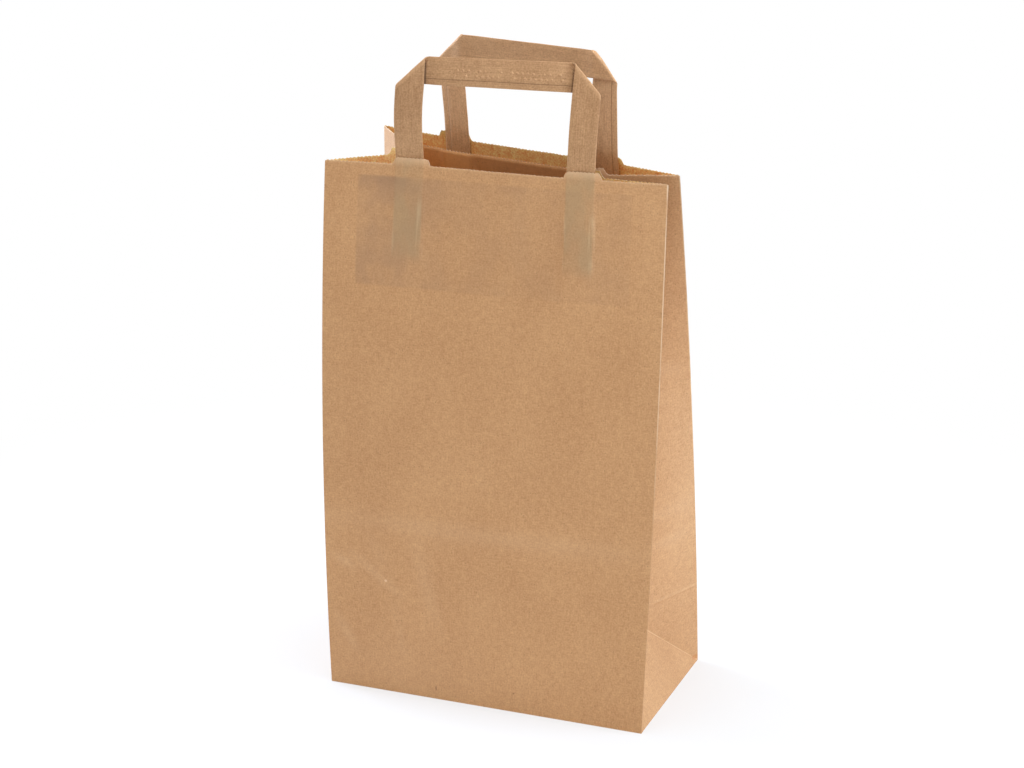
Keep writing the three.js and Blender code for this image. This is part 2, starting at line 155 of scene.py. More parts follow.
@dataclass(frozen=True)
class BagShape:
    """The surface that the sheet, the tapes and the patches all follow."""

    width: float = 220 * MM
    depth: float = 120 * MM
    height: float = 360 * MM
    paper: float = 0.3 * MM
    tooth_pitch: float = 2.5 * MM
    tooth_depth: float = 0.9 * MM
    crease_inset: float = 31 * MM
    crease_left: float = 37 * MM
    crease_right: float = -1 * MM
    gusset_bulge: float = 7 * MM
    panel_bulge: float = 2.5 * MM
    rim_bow: float = 2 * MM
    leg_spacing: float = 112 * MM
    tab_base: float = 24.5 * MM
    tab_top: float = 21 * MM
    tab_height: float = 4.4 * MM
    handle_height: float = 71 * MM
    handle_bend: float = 0.2
    leg_bow: float = 2 * MM
    gap: float = 0.4 * MM
    tape_width: float = 18.2 * MM
    tape_thickness: float = 0.6 * MM
    leg_tuck: float = 62 * MM
    patch_width: float = 178 * MM
    patch_top: float = 8.5 * MM
    patch_bottom: float = 80 * MM
    front: Wall = Wall(
        Side.FRONT,
        setback_left=20.7 * MM,
        setback_right=61 * MM,
        sway=-7.5 * MM,
        bulge_left=(-3 * MM, -3 * MM),
        bulge_right=(1.5 * MM, 0.0),
        lean_left=8 * MM,
        lean_right=-9 * MM,
        handle_sway=0.5 * MM,
        tab_shift=1.4 * MM,
        leg_curve=-1.2 * MM,
    )
    rear: Wall = Wall(
        Side.REAR,
        setback_left=11 * MM,
        setback_right=45 * MM,
        sway=-4.3 * MM,
        bulge_left=(-3 * MM, 3 * MM),
        bulge_right=(0.0, 8 * MM),
        lean_left=11 * MM,
        lean_right=24 * MM,
        handle_sway=-4 * MM,
        foot_left=4.2 * MM,
        foot_right=1.3 * MM,
        tab_shift=2.0 * MM,
        bar_reach=3.4 * MM,
    )

    @property
    def half_width(self) -> float:
        """Returns half the base's width."""
        return self.width / 2

    @property
    def half_depth(self) -> float:
        """Returns half the base's depth."""
        return self.depth / 2

    @property
    def apex_share(self) -> float:
        """Returns the share of the height at which the base's diagonal folds meet."""
        return self.half_depth / self.height

    @property
    def apex_height(self) -> float:
        """Returns the height of the gusset crease's low end above the floor."""
        return math.sqrt(self.half_depth**2 - self.crease_inset**2)

    def walls(self) -> tuple[Wall, Wall]:
        """Returns the front and the rear wall."""
        return self.front, self.rear

    def edge(self, wall: Wall, side: Side, s: Array) -> Array:
        """Points of one upright edge.

        Args:
            wall: The panel that the edge bounds.
            side: LEFT or RIGHT.
            s: Shares of the way from the base to the rim.

        Returns:
            An array of points with one more axis than s.
        """
        s = np.asarray(s, float)[..., None]
        slant = (wall.setback_right - wall.setback_left) / 2
        half_span = math.sqrt(self.half_width**2 - slant**2)
        setback = wall.setback_left if side is Side.LEFT else wall.setback_right
        bulge = wall.bulge_left if side is Side.LEFT else wall.bulge_right
        base = np.array([side.sign * self.half_width, wall.side.sign * self.half_depth, 0.0])
        rim_x = wall.sway + side.sign * half_span
        rise = math.sqrt(self.height**2 - setback**2 - (rim_x - base[0]) ** 2)
        rim = np.array([rim_x, base[1] - wall.side.sign * setback, rise])
        return base + (rim - base) * s + np.array([*bulge, 0.0]) * 4 * s * (1 - s)

    def panel(self, wall: Wall, u: Array, s: Array) -> Array:
        """Points of a panel's middle surface.

        Args:
            wall: The panel.
            u: Shares of the width, from left to right.
            s: Shares of the height, from base to rim.

        Returns:
            An array of points with one more axis than u.
        """
        u, s = np.broadcast_arrays(np.asarray(u, float), np.asarray(s, float))
        left = self.edge(wall, Side.LEFT, s)
        right = self.edge(wall, Side.RIGHT, s)
        point = left + (right - left) * u[..., None]
        body = self.panel_bulge * np.sin(np.pi * u) * 4 * s * (1 - s)
        rim = self.rim_bow * np.sin(2 * np.pi * u) * smooth(s, 0.6, 1.0)
        point[..., 1] += wall.side.sign * (body - rim)
        return point

    def crease(self, wall: Wall, side: Side, s: Array) -> Array:
        """Points of a gusset's crease, and of the diagonal fold below its low end.

        Args:
            wall: The wall whose gusset half ends there.
            side: LEFT or RIGHT.
            s: Shares of the height.

        Returns:
            An array of points with one more axis than s.
        """
        s = np.asarray(s, float)[..., None]
        low = self.edge(wall, side, np.zeros(()))
        apex = np.array([side.sign * (self.half_width - self.crease_inset), 0.0, self.apex_height])
        corner = self.edge(self.front, side, np.ones(()))
        setback = self.crease_left if side is Side.LEFT else self.crease_right
        reach = math.sqrt(self.half_depth**2 - setback**2)
        top = np.array([corner[0] - side.sign * reach, corner[1] + setback, corner[2]])
        below = low + (apex - low) * (s / self.apex_share)
        above = apex + (top - apex) * ((s - self.apex_share) / (1 - self.apex_share))
        return np.where(s <= self.apex_share, below, above)

    def gusset(self, wall: Wall, side: Side, v: Array, s: Array) -> Array:
        """Points of one half of a gusset.

        Args:
            wall: The wall that the half hangs on.
            side: LEFT or RIGHT.
            v: Shares of the way from the upright edge to the crease.
            s: Shares of the height.

        Returns:
            An array of points with one more axis than v.
        """
        v, s = np.broadcast_arrays(np.asarray(v, float), np.asarray(s, float))
        edge = self.edge(wall, side, s)
        crease = self.crease(wall, side, s)
        out = self.gusset_normal(wall, side, s)
        grown = smooth(s, self.apex_share, 0.4)
        faded = smooth(s, 0.49, 0.67)
        most = self.gusset_bulge if wall.side is Side.REAR else 0.0
        bulge = most * grown * (1 - faded) * np.sin(np.pi * v)
        return edge + (crease - edge) * v[..., None] + out * bulge[..., None]

    def gusset_normal(self, wall: Wall, side: Side, s: Array) -> Array:
        """Level directions square to a gusset half, pointing away from the bag."""
        along = (self.crease(wall, side, s) - self.edge(wall, side, s)) * -wall.side.sign
        out = np.cross(along, np.array([0.0, 0.0, 1.0]))
        out[..., 2] = 0.0
        return unit(out) * side.sign

    def tab_rise(self, across: Array, shift: float = 0.0) -> Array:
        """Heights of the cut above the rim line, at distances from the panel's middle."""
        away = np.abs(np.abs(across - shift) - self.leg_spacing / 2)
        ramp = (self.tab_base - self.tab_top) / 2
        return self.tab_height * np.clip((self.tab_base / 2 - away) / ramp, 0.0, 1.0)

    def carried(self, wall: Wall, across: Array, rise: Array) -> Array:
        """Points of a panel's surface, carried on past the rim along its handle.

        Args:
            wall: The panel.
            across: Distances from the panel's middle.
            rise: Distances above the rim line, negative below it.

        Returns:
            An array of points with one more axis than across.
        """
        across, rise = np.broadcast_arrays(np.asarray(across, float), np.asarray(rise, float))
        u = 0.5 + across / self.width
        on_panel = self.panel(wall, u, 1 + np.minimum(rise, 0.0) / self.height)
        step = 1e-3
        climb = unit(self.panel(wall, u, np.ones_like(u)) - self.panel(wall, u, u * 0 + 1 - step))
        above = np.maximum(rise, 0.0)
        share = np.maximum(rise - self.tab_height, 0.0) / (self.handle_height - self.tab_height)
        turned = share**2 * (1 + self.handle_bend) / (share + self.handle_bend)
        lean_share = np.clip(0.5 + across / self.leg_spacing, 0.0, 1.0)
        lean = wall.lean_left + (wall.lean_right - wall.lean_left) * lean_share
        bow = 4 * turned * (1 - share) * self.leg_bow
        point = on_panel + climb * above[..., None]
        point[..., 0] += wall.handle_sway * turned
        point[..., 1] += wall.side.sign * (lean * turned + bow)
        return point

    def layer(self, wall: Wall, across: Array, rise: Array, out: Array) -> Array:
        """Points that stand off the carried surface, measured square to it.

        Args:
            wall: The panel.
            across: Distances from the panel's middle.
            rise: Distances above the rim line.
            out: Distances off the surface, positive away from the bag.

        Returns:
            An array of points with one more axis than across.
        """
        across, rise, out = np.broadcast_arrays(
            np.asarray(across, float), np.asarray(rise, float), np.asarray(out, float)
        )
        step = 0.5 * MM
        point = self.carried(wall, across, rise)
        climb = point - self.carried(wall, across, rise - step)
        right = self.carried(wall, across + step, rise)
        left = self.carried(wall, across - step, rise)
        normal = unit(np.cross(right - left, climb)) * -wall.side.sign
        return point + normal * out[..., None]


@dataclass
class MeshBuilder:
    """Collects grids of points, with the flat sheet's own coordinates, into one mesh."""

    points: list[Array] = field(default_factory=list)
    sheet_uv: list[Array] = field(default_factory=list)
    wear_and_painted_light: list[Array] = field(default_factory=list)
    faces: list[tuple[int, ...]] = field(default_factory=list)
    count: int = 0

    def row(self, points: Array, uv: Array, wear_and_painted_light: Array | float = 0.0) -> Array:
        """Adds a row of points.

        Args:
            points: The places, one to a line.
            uv: The places on the flat sheet, in metres, one to a line.
            wear_and_painted_light: Up to 1, wear and painted highlight; down to -1, painted shade.

        Returns:
            The numbers of the new points.
        """
        self.points.append(points)
        self.sheet_uv.append(uv)
        self.wear_and_painted_light.append(np.broadcast_to(np.asarray(wear_and_painted_light, float), len(points)))
        first = self.count
        self.count += len(points)
        return np.arange(first, self.count)

    def join(self, low: Array, high: Array) -> None:
        """Fills the space between two rows, where the upper has the same or twice as many cells."""
        cells = len(low) - 1
        if len(high) == len(low):
            for i in range(cells):
                self.faces.append((low[i], low[i + 1], high[i + 1], high[i]))
            return
        for i in range(cells):
            a, b, c = high[2 * i], high[2 * i + 1], high[2 * i + 2]
            self.faces += [(low[i], b, a), (low[i], low[i + 1], b), (low[i + 1], c, b)]

    def build(self, name: str, weld: float = 1e-5) -> bpy.types.Object:
        """Makes the object.

        Args:
            name: The object's name.
            weld: Points nearer to each other than this are merged.

        Returns:
            The linked object, with its sheet coordinates, and its wear and painted light and shade,
            on it.
        """
        mesh = bpy.data.meshes.new(name)
        co = np.concatenate(self.points)
        mesh.from_pydata(co.tolist(), [], [tuple(int(i) for i in f) for f in self.faces])
        uv = np.concatenate(self.sheet_uv)
        corner = np.empty(len(mesh.loops), dtype=np.int32)
        mesh.loops.foreach_get("vertex_index", corner)
        layer = mesh.uv_layers.new(name="sheet")
        layer.data.foreach_set("uv", uv[corner].ravel())
        wear_and_light = mesh.attributes.new("wear_and_painted_light", "FLOAT", "POINT")
        wear_and_light.data.foreach_set("value", np.concatenate(self.wear_and_painted_light))
        shell = bmesh.new()
        shell.from_mesh(mesh)
        bmesh.ops.remove_doubles(shell, verts=shell.verts, dist=weld)
        bmesh.ops.dissolve_degenerate(shell, edges=shell.edges, dist=weld / 10)
        shell.to_mesh(mesh)
        shell.free()
        return add_object(name, mesh)


def finish_piece(
    piece: bpy.types.Object, nodes: tuple[str, ...], angle: float = 22.0
) -> bpy.types.Object:
    """Shades a piece, and ties it to the frame.

    Args:
        piece: The finished object.
        nodes: The frame's nodes that it stands for.
        angle: Folds sharper than this many degrees keep a crisp edge.

    Returns:
        The same object.
    """
    piece.data.shade_smooth()
    piece.data.set_sharp_from_angle(angle=math.radians(angle))
    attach(piece, BODY)
    if nodes:
        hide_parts(*nodes)
    low, high = np.array(piece.bound_box).min(0), np.array(piece.bound_box).max(0)
    size = " x ".join(f"{x * 1000:.1f}" for x in high - low)
    log.info("%s: %d faces, %s mm", piece.name, len(piece.data.polygons), size)
    return piece


def add_shell(piece: bpy.types.Object, thickness: float, materials: tuple[int, int]) -> None:
    """Gives an open sheet its thickness, on both sides of its middle surface.

    Args:
        piece: The sheet.
        thickness: The paper's thickness.
        materials: How far down the slots the inner face's and the cut edge's materials are.
    """
    shell = piece.modifiers.new("paper", "SOLIDIFY")
    shell.thickness = thickness
    shell.offset = 0.0
    shell.use_even_offset = True
    shell.use_quality_normals = True
    shell.thickness_clamp = 0.0
    shell.material_offset, shell.material_offset_rim = materials


@dataclass(frozen=True)
class Layer:
    """One noise on the flat sheet: its features per metre across and up, its seed and detail."""

    across: float
    up: float
    seed: float
    detail: float = 2.0


FIBRES = Layer(880.0, 830.0, 3.1)
UPRIGHT_RIBS = Layer(1300.0, 230.0, 9.4)
LEVEL_RIBS = Layer(230.0, 1300.0, 6.2)
PLY_LINES = Layer(2400.0, 45.0, 8.1)
CLOUDS = Layer(240.0, 210.0, 1.3)
TONES = Layer(22.0, 15.0, 5.9)
FINE_RELIEF = Layer(1500.0, 900.0, 7.7, detail=3.0)
COCKLES = Layer(120.0, 70.0, 2.2)
GLOSS = Layer(700.0, 500.0, 4.4)
PATCH_GLUE = Layer(48.0, 30.0, 12.6)
LEG_GLUE = Layer(70.0, 34.0, 3.3)
BROKEN_EDGE = Layer(300.0, 22.0, 10.5)
# Noises that break up the painted highlight and shade along the folds.
UPRIGHT_FOLD_BREAKUP = Layer(90.0, 60.0, 8.8, detail=3.0)
LOW_FOLD_BREAKUP = Layer(160.0, 160.0, 21.0)


class NodeSheet:
    """A small helper that lays out a material's nodes."""

    def __init__(self, name: str) -> None:
        """Starts an empty material with one paper shader.

        Args:
            name: The material's name.
        """
        self.material = bpy.data.materials.new(name)
        self.material.use_nodes = True
        self.tree = self.material.node_tree
        self.tree.nodes.clear()
        self.shader = self.tree.nodes.new("ShaderNodeBsdfPrincipled")
        output = self.tree.nodes.new("ShaderNodeOutputMaterial")
        self.tree.links.new(self.shader.outputs["BSDF"], output.inputs["Surface"])
        place = self.tree.nodes.new("ShaderNodeUVMap")
        place.uv_map = "sheet"
        self.uv = place.outputs["UV"]
        split = self.tree.nodes.new("ShaderNodeSeparateXYZ")
        self.tree.links.new(self.uv, split.inputs[0])
        self.u, self.v = split.outputs[0], split.outputs[1]

    def put(self, socket: Socket, value: object) -> None:
        """Links a socket to a node's output, or sets its plain value."""
        if isinstance(value, Socket):
            self.tree.links.new(value, socket)
        else:
            socket.default_value = value

    def math(self, kind: str, a: object, b: object = 0.0, clamp: bool = False) -> Socket:
        """Returns the output of a math node on two values or sockets."""
        node = self.tree.nodes.new("ShaderNodeMath")
        node.operation = kind
        node.use_clamp = clamp
        self.put(node.inputs[0], a)
        self.put(node.inputs[1], b)
        return node.outputs[0]

    def product(self, first: object, *others: object) -> Socket:
        """Returns the product of values or sockets, multiplied in order."""
        for other in others:
            first = self.math("MULTIPLY", first, other)
        return first

    def spread(
        self, value: object, low: float, high: float, to_low: float = 0.0, to_high: float = 1.0
    ) -> Socket:
        """Returns a value carried smoothly from one range to another, held at its ends."""
        node = self.tree.nodes.new("ShaderNodeMapRange")
        node.interpolation_type = "SMOOTHSTEP"
        self.put(node.inputs["Value"], value)
        for name, number in zip(RANGE_INPUTS, (low, high, to_low, to_high)):
            node.inputs[name].default_value = number
        return node.outputs["Result"]

    def grain(self, layer: Layer, shift: float = 0.0) -> Socket:
        """Noise on the flat sheet.

        Args:
            layer: The noise's scale, detail and seed.
            shift: Moves the pattern for one finish.

        Returns:
            A value round 0.5.
        """
        seed = layer.seed + shift
        mapping = self.tree.nodes.new("ShaderNodeMapping")
        mapping.inputs["Scale"].default_value = (layer.across, layer.up, 1.0)
        mapping.inputs["Location"].default_value = (seed, 1.7 * seed, 0.0)
        self.put(mapping.inputs["Vector"], self.uv)
        node = self.tree.nodes.new("ShaderNodeTexNoise")
        node.noise_dimensions = "2D"
        node.inputs["Scale"].default_value = 1.0
        node.inputs["Detail"].default_value = layer.detail
        self.put(node.inputs["Vector"], mapping.outputs[0])
        return node.outputs["Fac"]

    def band(self, value: object, low: float, high: float, soft: float) -> Socket:
        """Returns 1 between two limits and 0 outside, with soft ends."""
        rise = self.spread(value, low - soft, low + soft)
        fall = self.spread(value, high - soft, high + soft, 1.0, 0.0)
        return self.product(rise, fall)

    def line(self, value: object, middle: float, half: float, soft: float) -> Socket:
        """Returns 1 within a half width of a middle and 0 outside, with soft ends."""
        return self.band(value, middle - half, middle + half, soft)

    def tint(self, fac: object, base: object, other: object) -> Socket:
        """Returns the mix of two colours."""
        node = self.tree.nodes.new("ShaderNodeMix")
        node.data_type = "RGBA"
        self.put(node.inputs["Factor"], fac)
        for index, value in ((6, base), (7, other)):
            if isinstance(value, Socket):
                self.tree.links.new(value, node.inputs[index])
            else:
                node.inputs[index].default_value = (*value, 1.0)
        return node.outputs[2]

    def wear_and_light(self) -> Socket:
        """Returns the mesh's values of wear, painted highlight and painted shade."""
        node = self.tree.nodes.new("ShaderNodeAttribute")
        node.attribute_name = "wear_and_painted_light"
        return node.outputs["Fac"]


def linear(red: float, green: float, blue: float) -> tuple[float, float, float]:
    """Returns a display colour, given from 0 to 255, as the light that it stands for."""
    parts = (red / 255, green / 255, blue / 255)
    return tuple(c / 12.92 if c <= 0.04045 else ((c + 0.055) / 1.055) ** 2.4 for c in parts)


SEAM_LINE = linear(104, 70, 42)
# Painted shade for the narrow gap where the tape's bar runs past a leg's inner edge.
GAP_SHADE = linear(70, 46, 28)
# Pale tint for the sheet's wear, and for one broad band of painted light.
WORN_AND_LIT_SHEET = linear(236, 200, 160)
PATCH_BELOW = linear(156, 121, 92)
LEG_BELOW = linear(170, 146, 108)
# Painted highlight along the raised edges of the legs that show through the panel.
LEG_EDGE_HIGHLIGHT = linear(226, 198, 158)
# Painted highlight where the upright folds catch the light, with some rubbed wear.
UPRIGHT_FOLD_HIGHLIGHT = linear(243, 219, 186)
# Painted highlight and painted shade on either side of the gussets' low folds.
LOW_FOLD_HIGHLIGHT = linear(240, 205, 160)
LOW_FOLD_SHADE = linear(176, 118, 66)


@dataclass(frozen=True)
class KraftFinish:
    """Brown kraft paper: its colours, its ribs, its cloudiness and its fibres."""

    name: str
    pale: tuple[float, float, float]
    dark: tuple[float, float, float]
    cloud: float = 0.3
    grain: float = 0.84
    weave: float = 0.38
    streaks: float = 0.0
    tone: float = 0.2
    specks: float = 0.55
    roughness: float = 0.66
    relief: float = 0.4
    pattern: float = 0.0
    seams: tuple[tuple[float, float, float], ...] = ()

    def pulp(self, sheet: NodeSheet) -> Socket:
        """The paper's own brown, before anything shows through it.

        Args:
            sheet: The material's nodes.

        Returns:
            The colour.
        """
        shares = (
            (FIBRES, self.grain),
            (UPRIGHT_RIBS, self.weave),
            (LEVEL_RIBS, self.weave),
            (PLY_LINES, self.streaks),
            (CLOUDS, self.cloud),
            (TONES, self.tone),
        )
        total: object = 0.0
        for layer, share in shares:
            value = sheet.grain(layer, self.pattern)
            part = sheet.product(sheet.math("SUBTRACT", value, 0.5), share)
            total = sheet.math("ADD", part, total)
        fac = sheet.math("ADD", total, 0.5, clamp=True)
        base = sheet.tint(fac, self.dark, self.pale)
        return self.flecks(sheet, base)

    def flecks(self, sheet: NodeSheet, base: Socket) -> Socket:
        """Scattered short dark fibres.

        Args:
            sheet: The material's nodes.
            base: The colour that they lie on.

        Returns:
            The colour with the fibres on it.
        """
        mapping = sheet.tree.nodes.new("ShaderNodeMapping")
        mapping.inputs["Scale"].default_value = (620.0, 260.0, 1.0)
        mapping.inputs["Rotation"].default_value = (0.0, 0.0, 0.35)
        sheet.put(mapping.inputs["Vector"], sheet.uv)
        cells = sheet.tree.nodes.new("ShaderNodeTexVoronoi")
        cells.voronoi_dimensions = "2D"
        cells.inputs["Scale"].default_value = 1.0
        sheet.put(cells.inputs["Vector"], mapping.outputs[0])
        near = sheet.spread(cells.outputs["Distance"], 0.05, 0.17, 1.0, 0.0)
        hue = sheet.tree.nodes.new("ShaderNodeSeparateColor")
        sheet.put(hue.inputs[0], cells.outputs["Color"])
        rare = sheet.spread(hue.outputs[0], 0.86, 0.98)
        fac = sheet.product(near, rare, self.specks)
        fleck = tuple(c * 0.35 for c in self.dark)
        return sheet.tint(fac, base, fleck)

    def bump(self, sheet: NodeSheet, layers: object) -> None:
        """Raises the fibres a little, and what lies under the paper.

        Args:
            sheet: The material's nodes.
            layers: How far the layers below push the paper out, from 0 to 1.
        """
        height = sheet.grain(FINE_RELIEF)
        parts = [(sheet.grain(COCKLES), 1.6), (layers, 2.2)]
        if self.streaks:
            parts.append((sheet.grain(PLY_LINES, self.pattern), 1.2))
        for part, share in parts:
            height = sheet.math("ADD", height, sheet.product(part, share))
        node = sheet.tree.nodes.new("ShaderNodeBump")
        node.inputs["Strength"].default_value = self.relief
        node.inputs["Distance"].default_value = 0.12 * MM
        sheet.put(node.inputs["Height"], height)
        sheet.put(sheet.shader.inputs["Normal"], node.outputs[0])

    def close(self, sheet: NodeSheet, colour: Socket, layers: object = 0.0) -> bpy.types.Material:
        """Sets the shader's inputs.

        Args:
            sheet: The material's nodes.
            colour: The finished colour.
            layers: How far the layers below push the paper out, from 0 to 1.

        Returns:
            The material.
        """
        sheet.put(sheet.shader.inputs["Base Color"], colour)
        low, high = self.roughness - 0.06, self.roughness + 0.08
        rough = sheet.spread(sheet.grain(GLOSS), 0.2, 0.8, low, high)
        sheet.put(sheet.shader.inputs["Roughness"], rough)
        sheet.shader.inputs["Specular IOR Level"].default_value = 0.36
        sheet.shader.inputs["Sheen Weight"].default_value = 0.06
        sheet.shader.inputs["Sheen Roughness"].default_value = 0.45
        self.bump(sheet, layers)
        return sheet.material

    def material(self) -> bpy.types.Material:
        """Returns the plain paper, pale for wear and painted highlight, and dark for painted shade
        in gaps.
        """
        sheet = NodeSheet(self.name)
        colour = self.pulp(sheet)
        for middle, wide, strength in self.seams:
            line = sheet.line(sheet.u, middle, wide, 0.18 * MM)
            colour = sheet.tint(sheet.product(line, strength), colour, SEAM_LINE)
        # Positive values pale the paper: wear, and painted highlight.
        lifted = tuple(min(1.0, c * 1.25 + 0.02) for c in self.pale)
        colour = sheet.tint(sheet.math("MULTIPLY", sheet.wear_and_light(), 0.5, clamp=True), colour, lifted)
        # Negative values darken the paper with painted shade.
        gap_shade = sheet.math("MULTIPLY", sheet.wear_and_light(), -0.85, clamp=True)
        return self.close(sheet, sheet.tint(gap_shade, colour, GAP_SHADE))


KRAFT_OUT = KraftFinish(
    "kraft_outside", linear(217, 170, 120), linear(178, 128.5, 83), cloud=0.36, tone=0.42
)
# Inner paper: its bright, strongly mottled orange is painted light, standing in for the light that
# passes through the thin backlit sheet.
KRAFT_IN_PAINTED_BACKLIGHT = KraftFinish(
    "kraft_inside_painted_backlight", linear(255, 224, 148), linear(234, 150, 84), cloud=1.0, grain=1.5, pattern=0.7
)
KRAFT_CUT = KraftFinish("kraft_cut_edge", linear(236, 211, 178), linear(208, 176, 140))
KRAFT_TAPE = KraftFinish(
    "kraft_tape",
    linear(208, 164, 119),
    linear(155, 112, 73),
    weave=0.2,
    streaks=0.75,
    cloud=0.4,
    tone=0.5,
    roughness=0.7,
    pattern=2.1,
    seams=((54 * MM, 0.22 * MM, 0.5), (52.6 * MM, 0.1 * MM, 0.22), (4 * MM, 0.15 * MM, 0.2)),
)
# A paler copy of the same tape paper for the rear handle: painted light for the rear bar's brighter
# lighting.
KRAFT_TAPE_REAR_PAINTED_LIGHT = replace(
    KRAFT_TAPE, name="kraft_tape_rear_painted_light", pale=linear(226, 181, 135), dark=linear(175, 130, 88)
)
KRAFT_PATCH = KraftFinish(
    "kraft_patch", linear(236, 180, 120), linear(196, 138, 86), grain=0.35, pattern=4.0
)


@dataclass
class BagSheet:
    """The folded sheet: two panels, two gussets with an inward crease, and a folded base."""

    shape: BagShape
    row_step: float = 3 * MM
    column_step: float = 2.5 * MM
    rim_band: float = 12 * MM
    floor_layers: int = 3
    flap_overlap: float = 12 * MM
    swell: float = 0.35 * MM
    cockle: tuple[float, float] = (70 * MM, 1 * MM)
    dimple: tuple[float, float] = (24 * MM, 0.26 * MM)
    ridge: tuple[float, float, float] = (119 * MM, 7 * MM, 0.45 * MM)
    tab_curl: float = 2.2 * MM
    fold_bulge: float = 0.6 * MM
    rim_rows: tuple[float, ...] = (9 * MM, 6.5 * MM, 4.5 * MM, 2.8 * MM, 1.6 * MM)

    def shares(self) -> Array:
        """Returns the rows' shares of the height, with one row where the diagonal folds meet."""
        top = 1 - self.rim_band / self.shape.height
        apex = self.shape.apex_share
        low = np.linspace(0.0, apex, round(apex * self.shape.height / self.row_step) + 1)
        high = np.linspace(apex, top, round((top - apex) * self.shape.height / self.row_step) + 1)
        return np.concatenate([low, high[1:]])

    def teeth(self, length: float) -> tuple[Array, Array]:
        """The serrated cut along a length, with slightly uneven teeth and full notches at its ends.

        Args:
            length: The length of the cut.

        Returns:
            The shares of the length, and how far the cut drops at each.
        """
        count = 2 * max(1, round(length / self.shape.tooth_pitch))
        share = np.arange(count + 1) / count
        uneven = np.random.default_rng(count).uniform(0.0, 1.0, count + 1)
        tip, notch = 0.3 * uneven, 1 - 0.45 * uneven
        drop = np.where(np.arange(count + 1) % 2 == 1, tip, notch) * self.shape.tooth_depth
        drop[0] = drop[-1] = self.shape.tooth_depth
        return share, drop

    def relief(self, u: Array, v: Array) -> Array:
        """Gentle unevenness of the paper, and the low ridge of its level fold."""
        broad = ripple(u, v, self.cockle[0], 0.3) * self.cockle[1]
        small = ripple(u, v, self.dimple[0], 4.7) * self.dimple[1]
        middle, wide, high = self.ridge
        return broad + small + np.exp(-(((v - middle) / wide) ** 2)) * high

    def face_rows(
        self, builder: MeshBuilder, place: Placer, start: float, length: float, flip: bool
    ) -> None:
        """Adds one face of the tube, from the base to the serrated rim.

        Args:
            builder: The mesh that it is added to.
            place: Gives points from shares of the length and heights above the base.
            start: Where the face starts on the flat sheet.
            length: The face's length across the sheet.
            flip: Whether the shares run from right to left, seen from outside.
        """
        cells = round(length / self.column_step)
        coarse = np.linspace(0.0, 1.0, cells + 1)
        fine, drop = self.teeth(length)
        rows = [(coarse, np.full_like(coarse, s * self.shape.height)) for s in self.shares()]
        for below in self.rim_rows:
            rows.append((fine, np.full_like(fine, self.shape.height - below)))
        rows.append((fine, None))
        last = None
        gusset = length < self.shape.width
        for share, height in rows:
            along = 1 - share if flip else share
            points, top = place(along, height, drop)
            pinch = np.clip(top / self.shape.half_depth, 0.0, 1.0) if gusset else 1.0
            reach = share * length * pinch
            if flip and gusset:
                reach = length * (1 - (1 - share) * pinch)
            flat = np.stack([start + reach, top], axis=1)
            rubbed = 0.0 if height is not None else 0.8
            numbers = builder.row(points, flat, np.maximum(self.wear_and_painted_light_at(flat), rubbed))
            if last is not None:
                builder.join(last, numbers)
            last = numbers

    def wear_and_painted_light_at(self, flat: Array) -> Array:
        """How pale the paper is at places on the flat sheet: soft, pale lines of old creases, and
        one broad band of painted light.

        Args:
            flat: Places on the sheet, one to a line.

        Returns:
            Values from 0 to 1.
        """
        total = np.zeros(len(flat))
        for crease in CREASES_AND_PAINTED_LIGHT:
            total = np.maximum(total, crease.strength * crease.cover(flat))
        return total

    def panel_place(self, wall: Wall) -> Placer:
        """Returns the function that places a panel's points."""

        def place(u: Array, height: Array | None, drop: Array) -> tuple[Array, Array]:
            """Places points at shares of the width, at a height or at the cut rim."""
            across = (u - 0.5) * self.shape.width
            rise = self.shape.tab_rise(across, wall.tab_shift)
            top = self.shape.height + rise - drop if height is None else height
            points = self.shape.panel(wall, u, top / self.shape.height)
            fade = np.sin(np.pi * u) ** 0.5 * smooth(top, 0.0, 40 * MM)
            hold = 1 - 0.8 * smooth(top, 250 * MM, 300 * MM)
            pattern = 2.0 if wall.side is Side.REAR else 0.0
            bump = self.relief(across, top + pattern) * fade * hold
            bump = bump + self.layers_below(wall, across, top)
            points[:, 1] += wall.side.sign * (bump - self.curl(wall, across, top))
            return points, top

        return place

    def curl(self, wall: Wall, across: Array, top: Array) -> Array:
        """How far the rear tabs' free ends curl in beside the legs."""
        if wall.side is Side.FRONT:
            return np.zeros_like(top)
        middle = wall.leg_middle(across, self.shape.leg_spacing)
        half, rim = self.shape.tape_width / 2, self.shape.height
        free = smooth(np.abs(across - middle), half, half + 4 * MM)
        return self.tab_curl * free * smooth(top, rim - 0.5 * MM, rim + 5 * MM)

    def layers_below(self, wall: Wall, across: Array, top: Array) -> Array:
        """How far the tape's legs and the patch push the panel out."""
        middle = wall.leg_middle(across, self.shape.leg_spacing)
        half, end = self.shape.tape_width / 2, self.shape.height - self.shape.leg_tuck
        beside = 1 - smooth(np.abs(across - middle), half, half + 2 * MM)
        above = smooth(top, end - 2 * MM, end)
        return self.swell * beside * above

    def gusset_place(self, wall: Wall, side: Side) -> Placer:
        """Returns the function that places the points of one half of a gusset."""

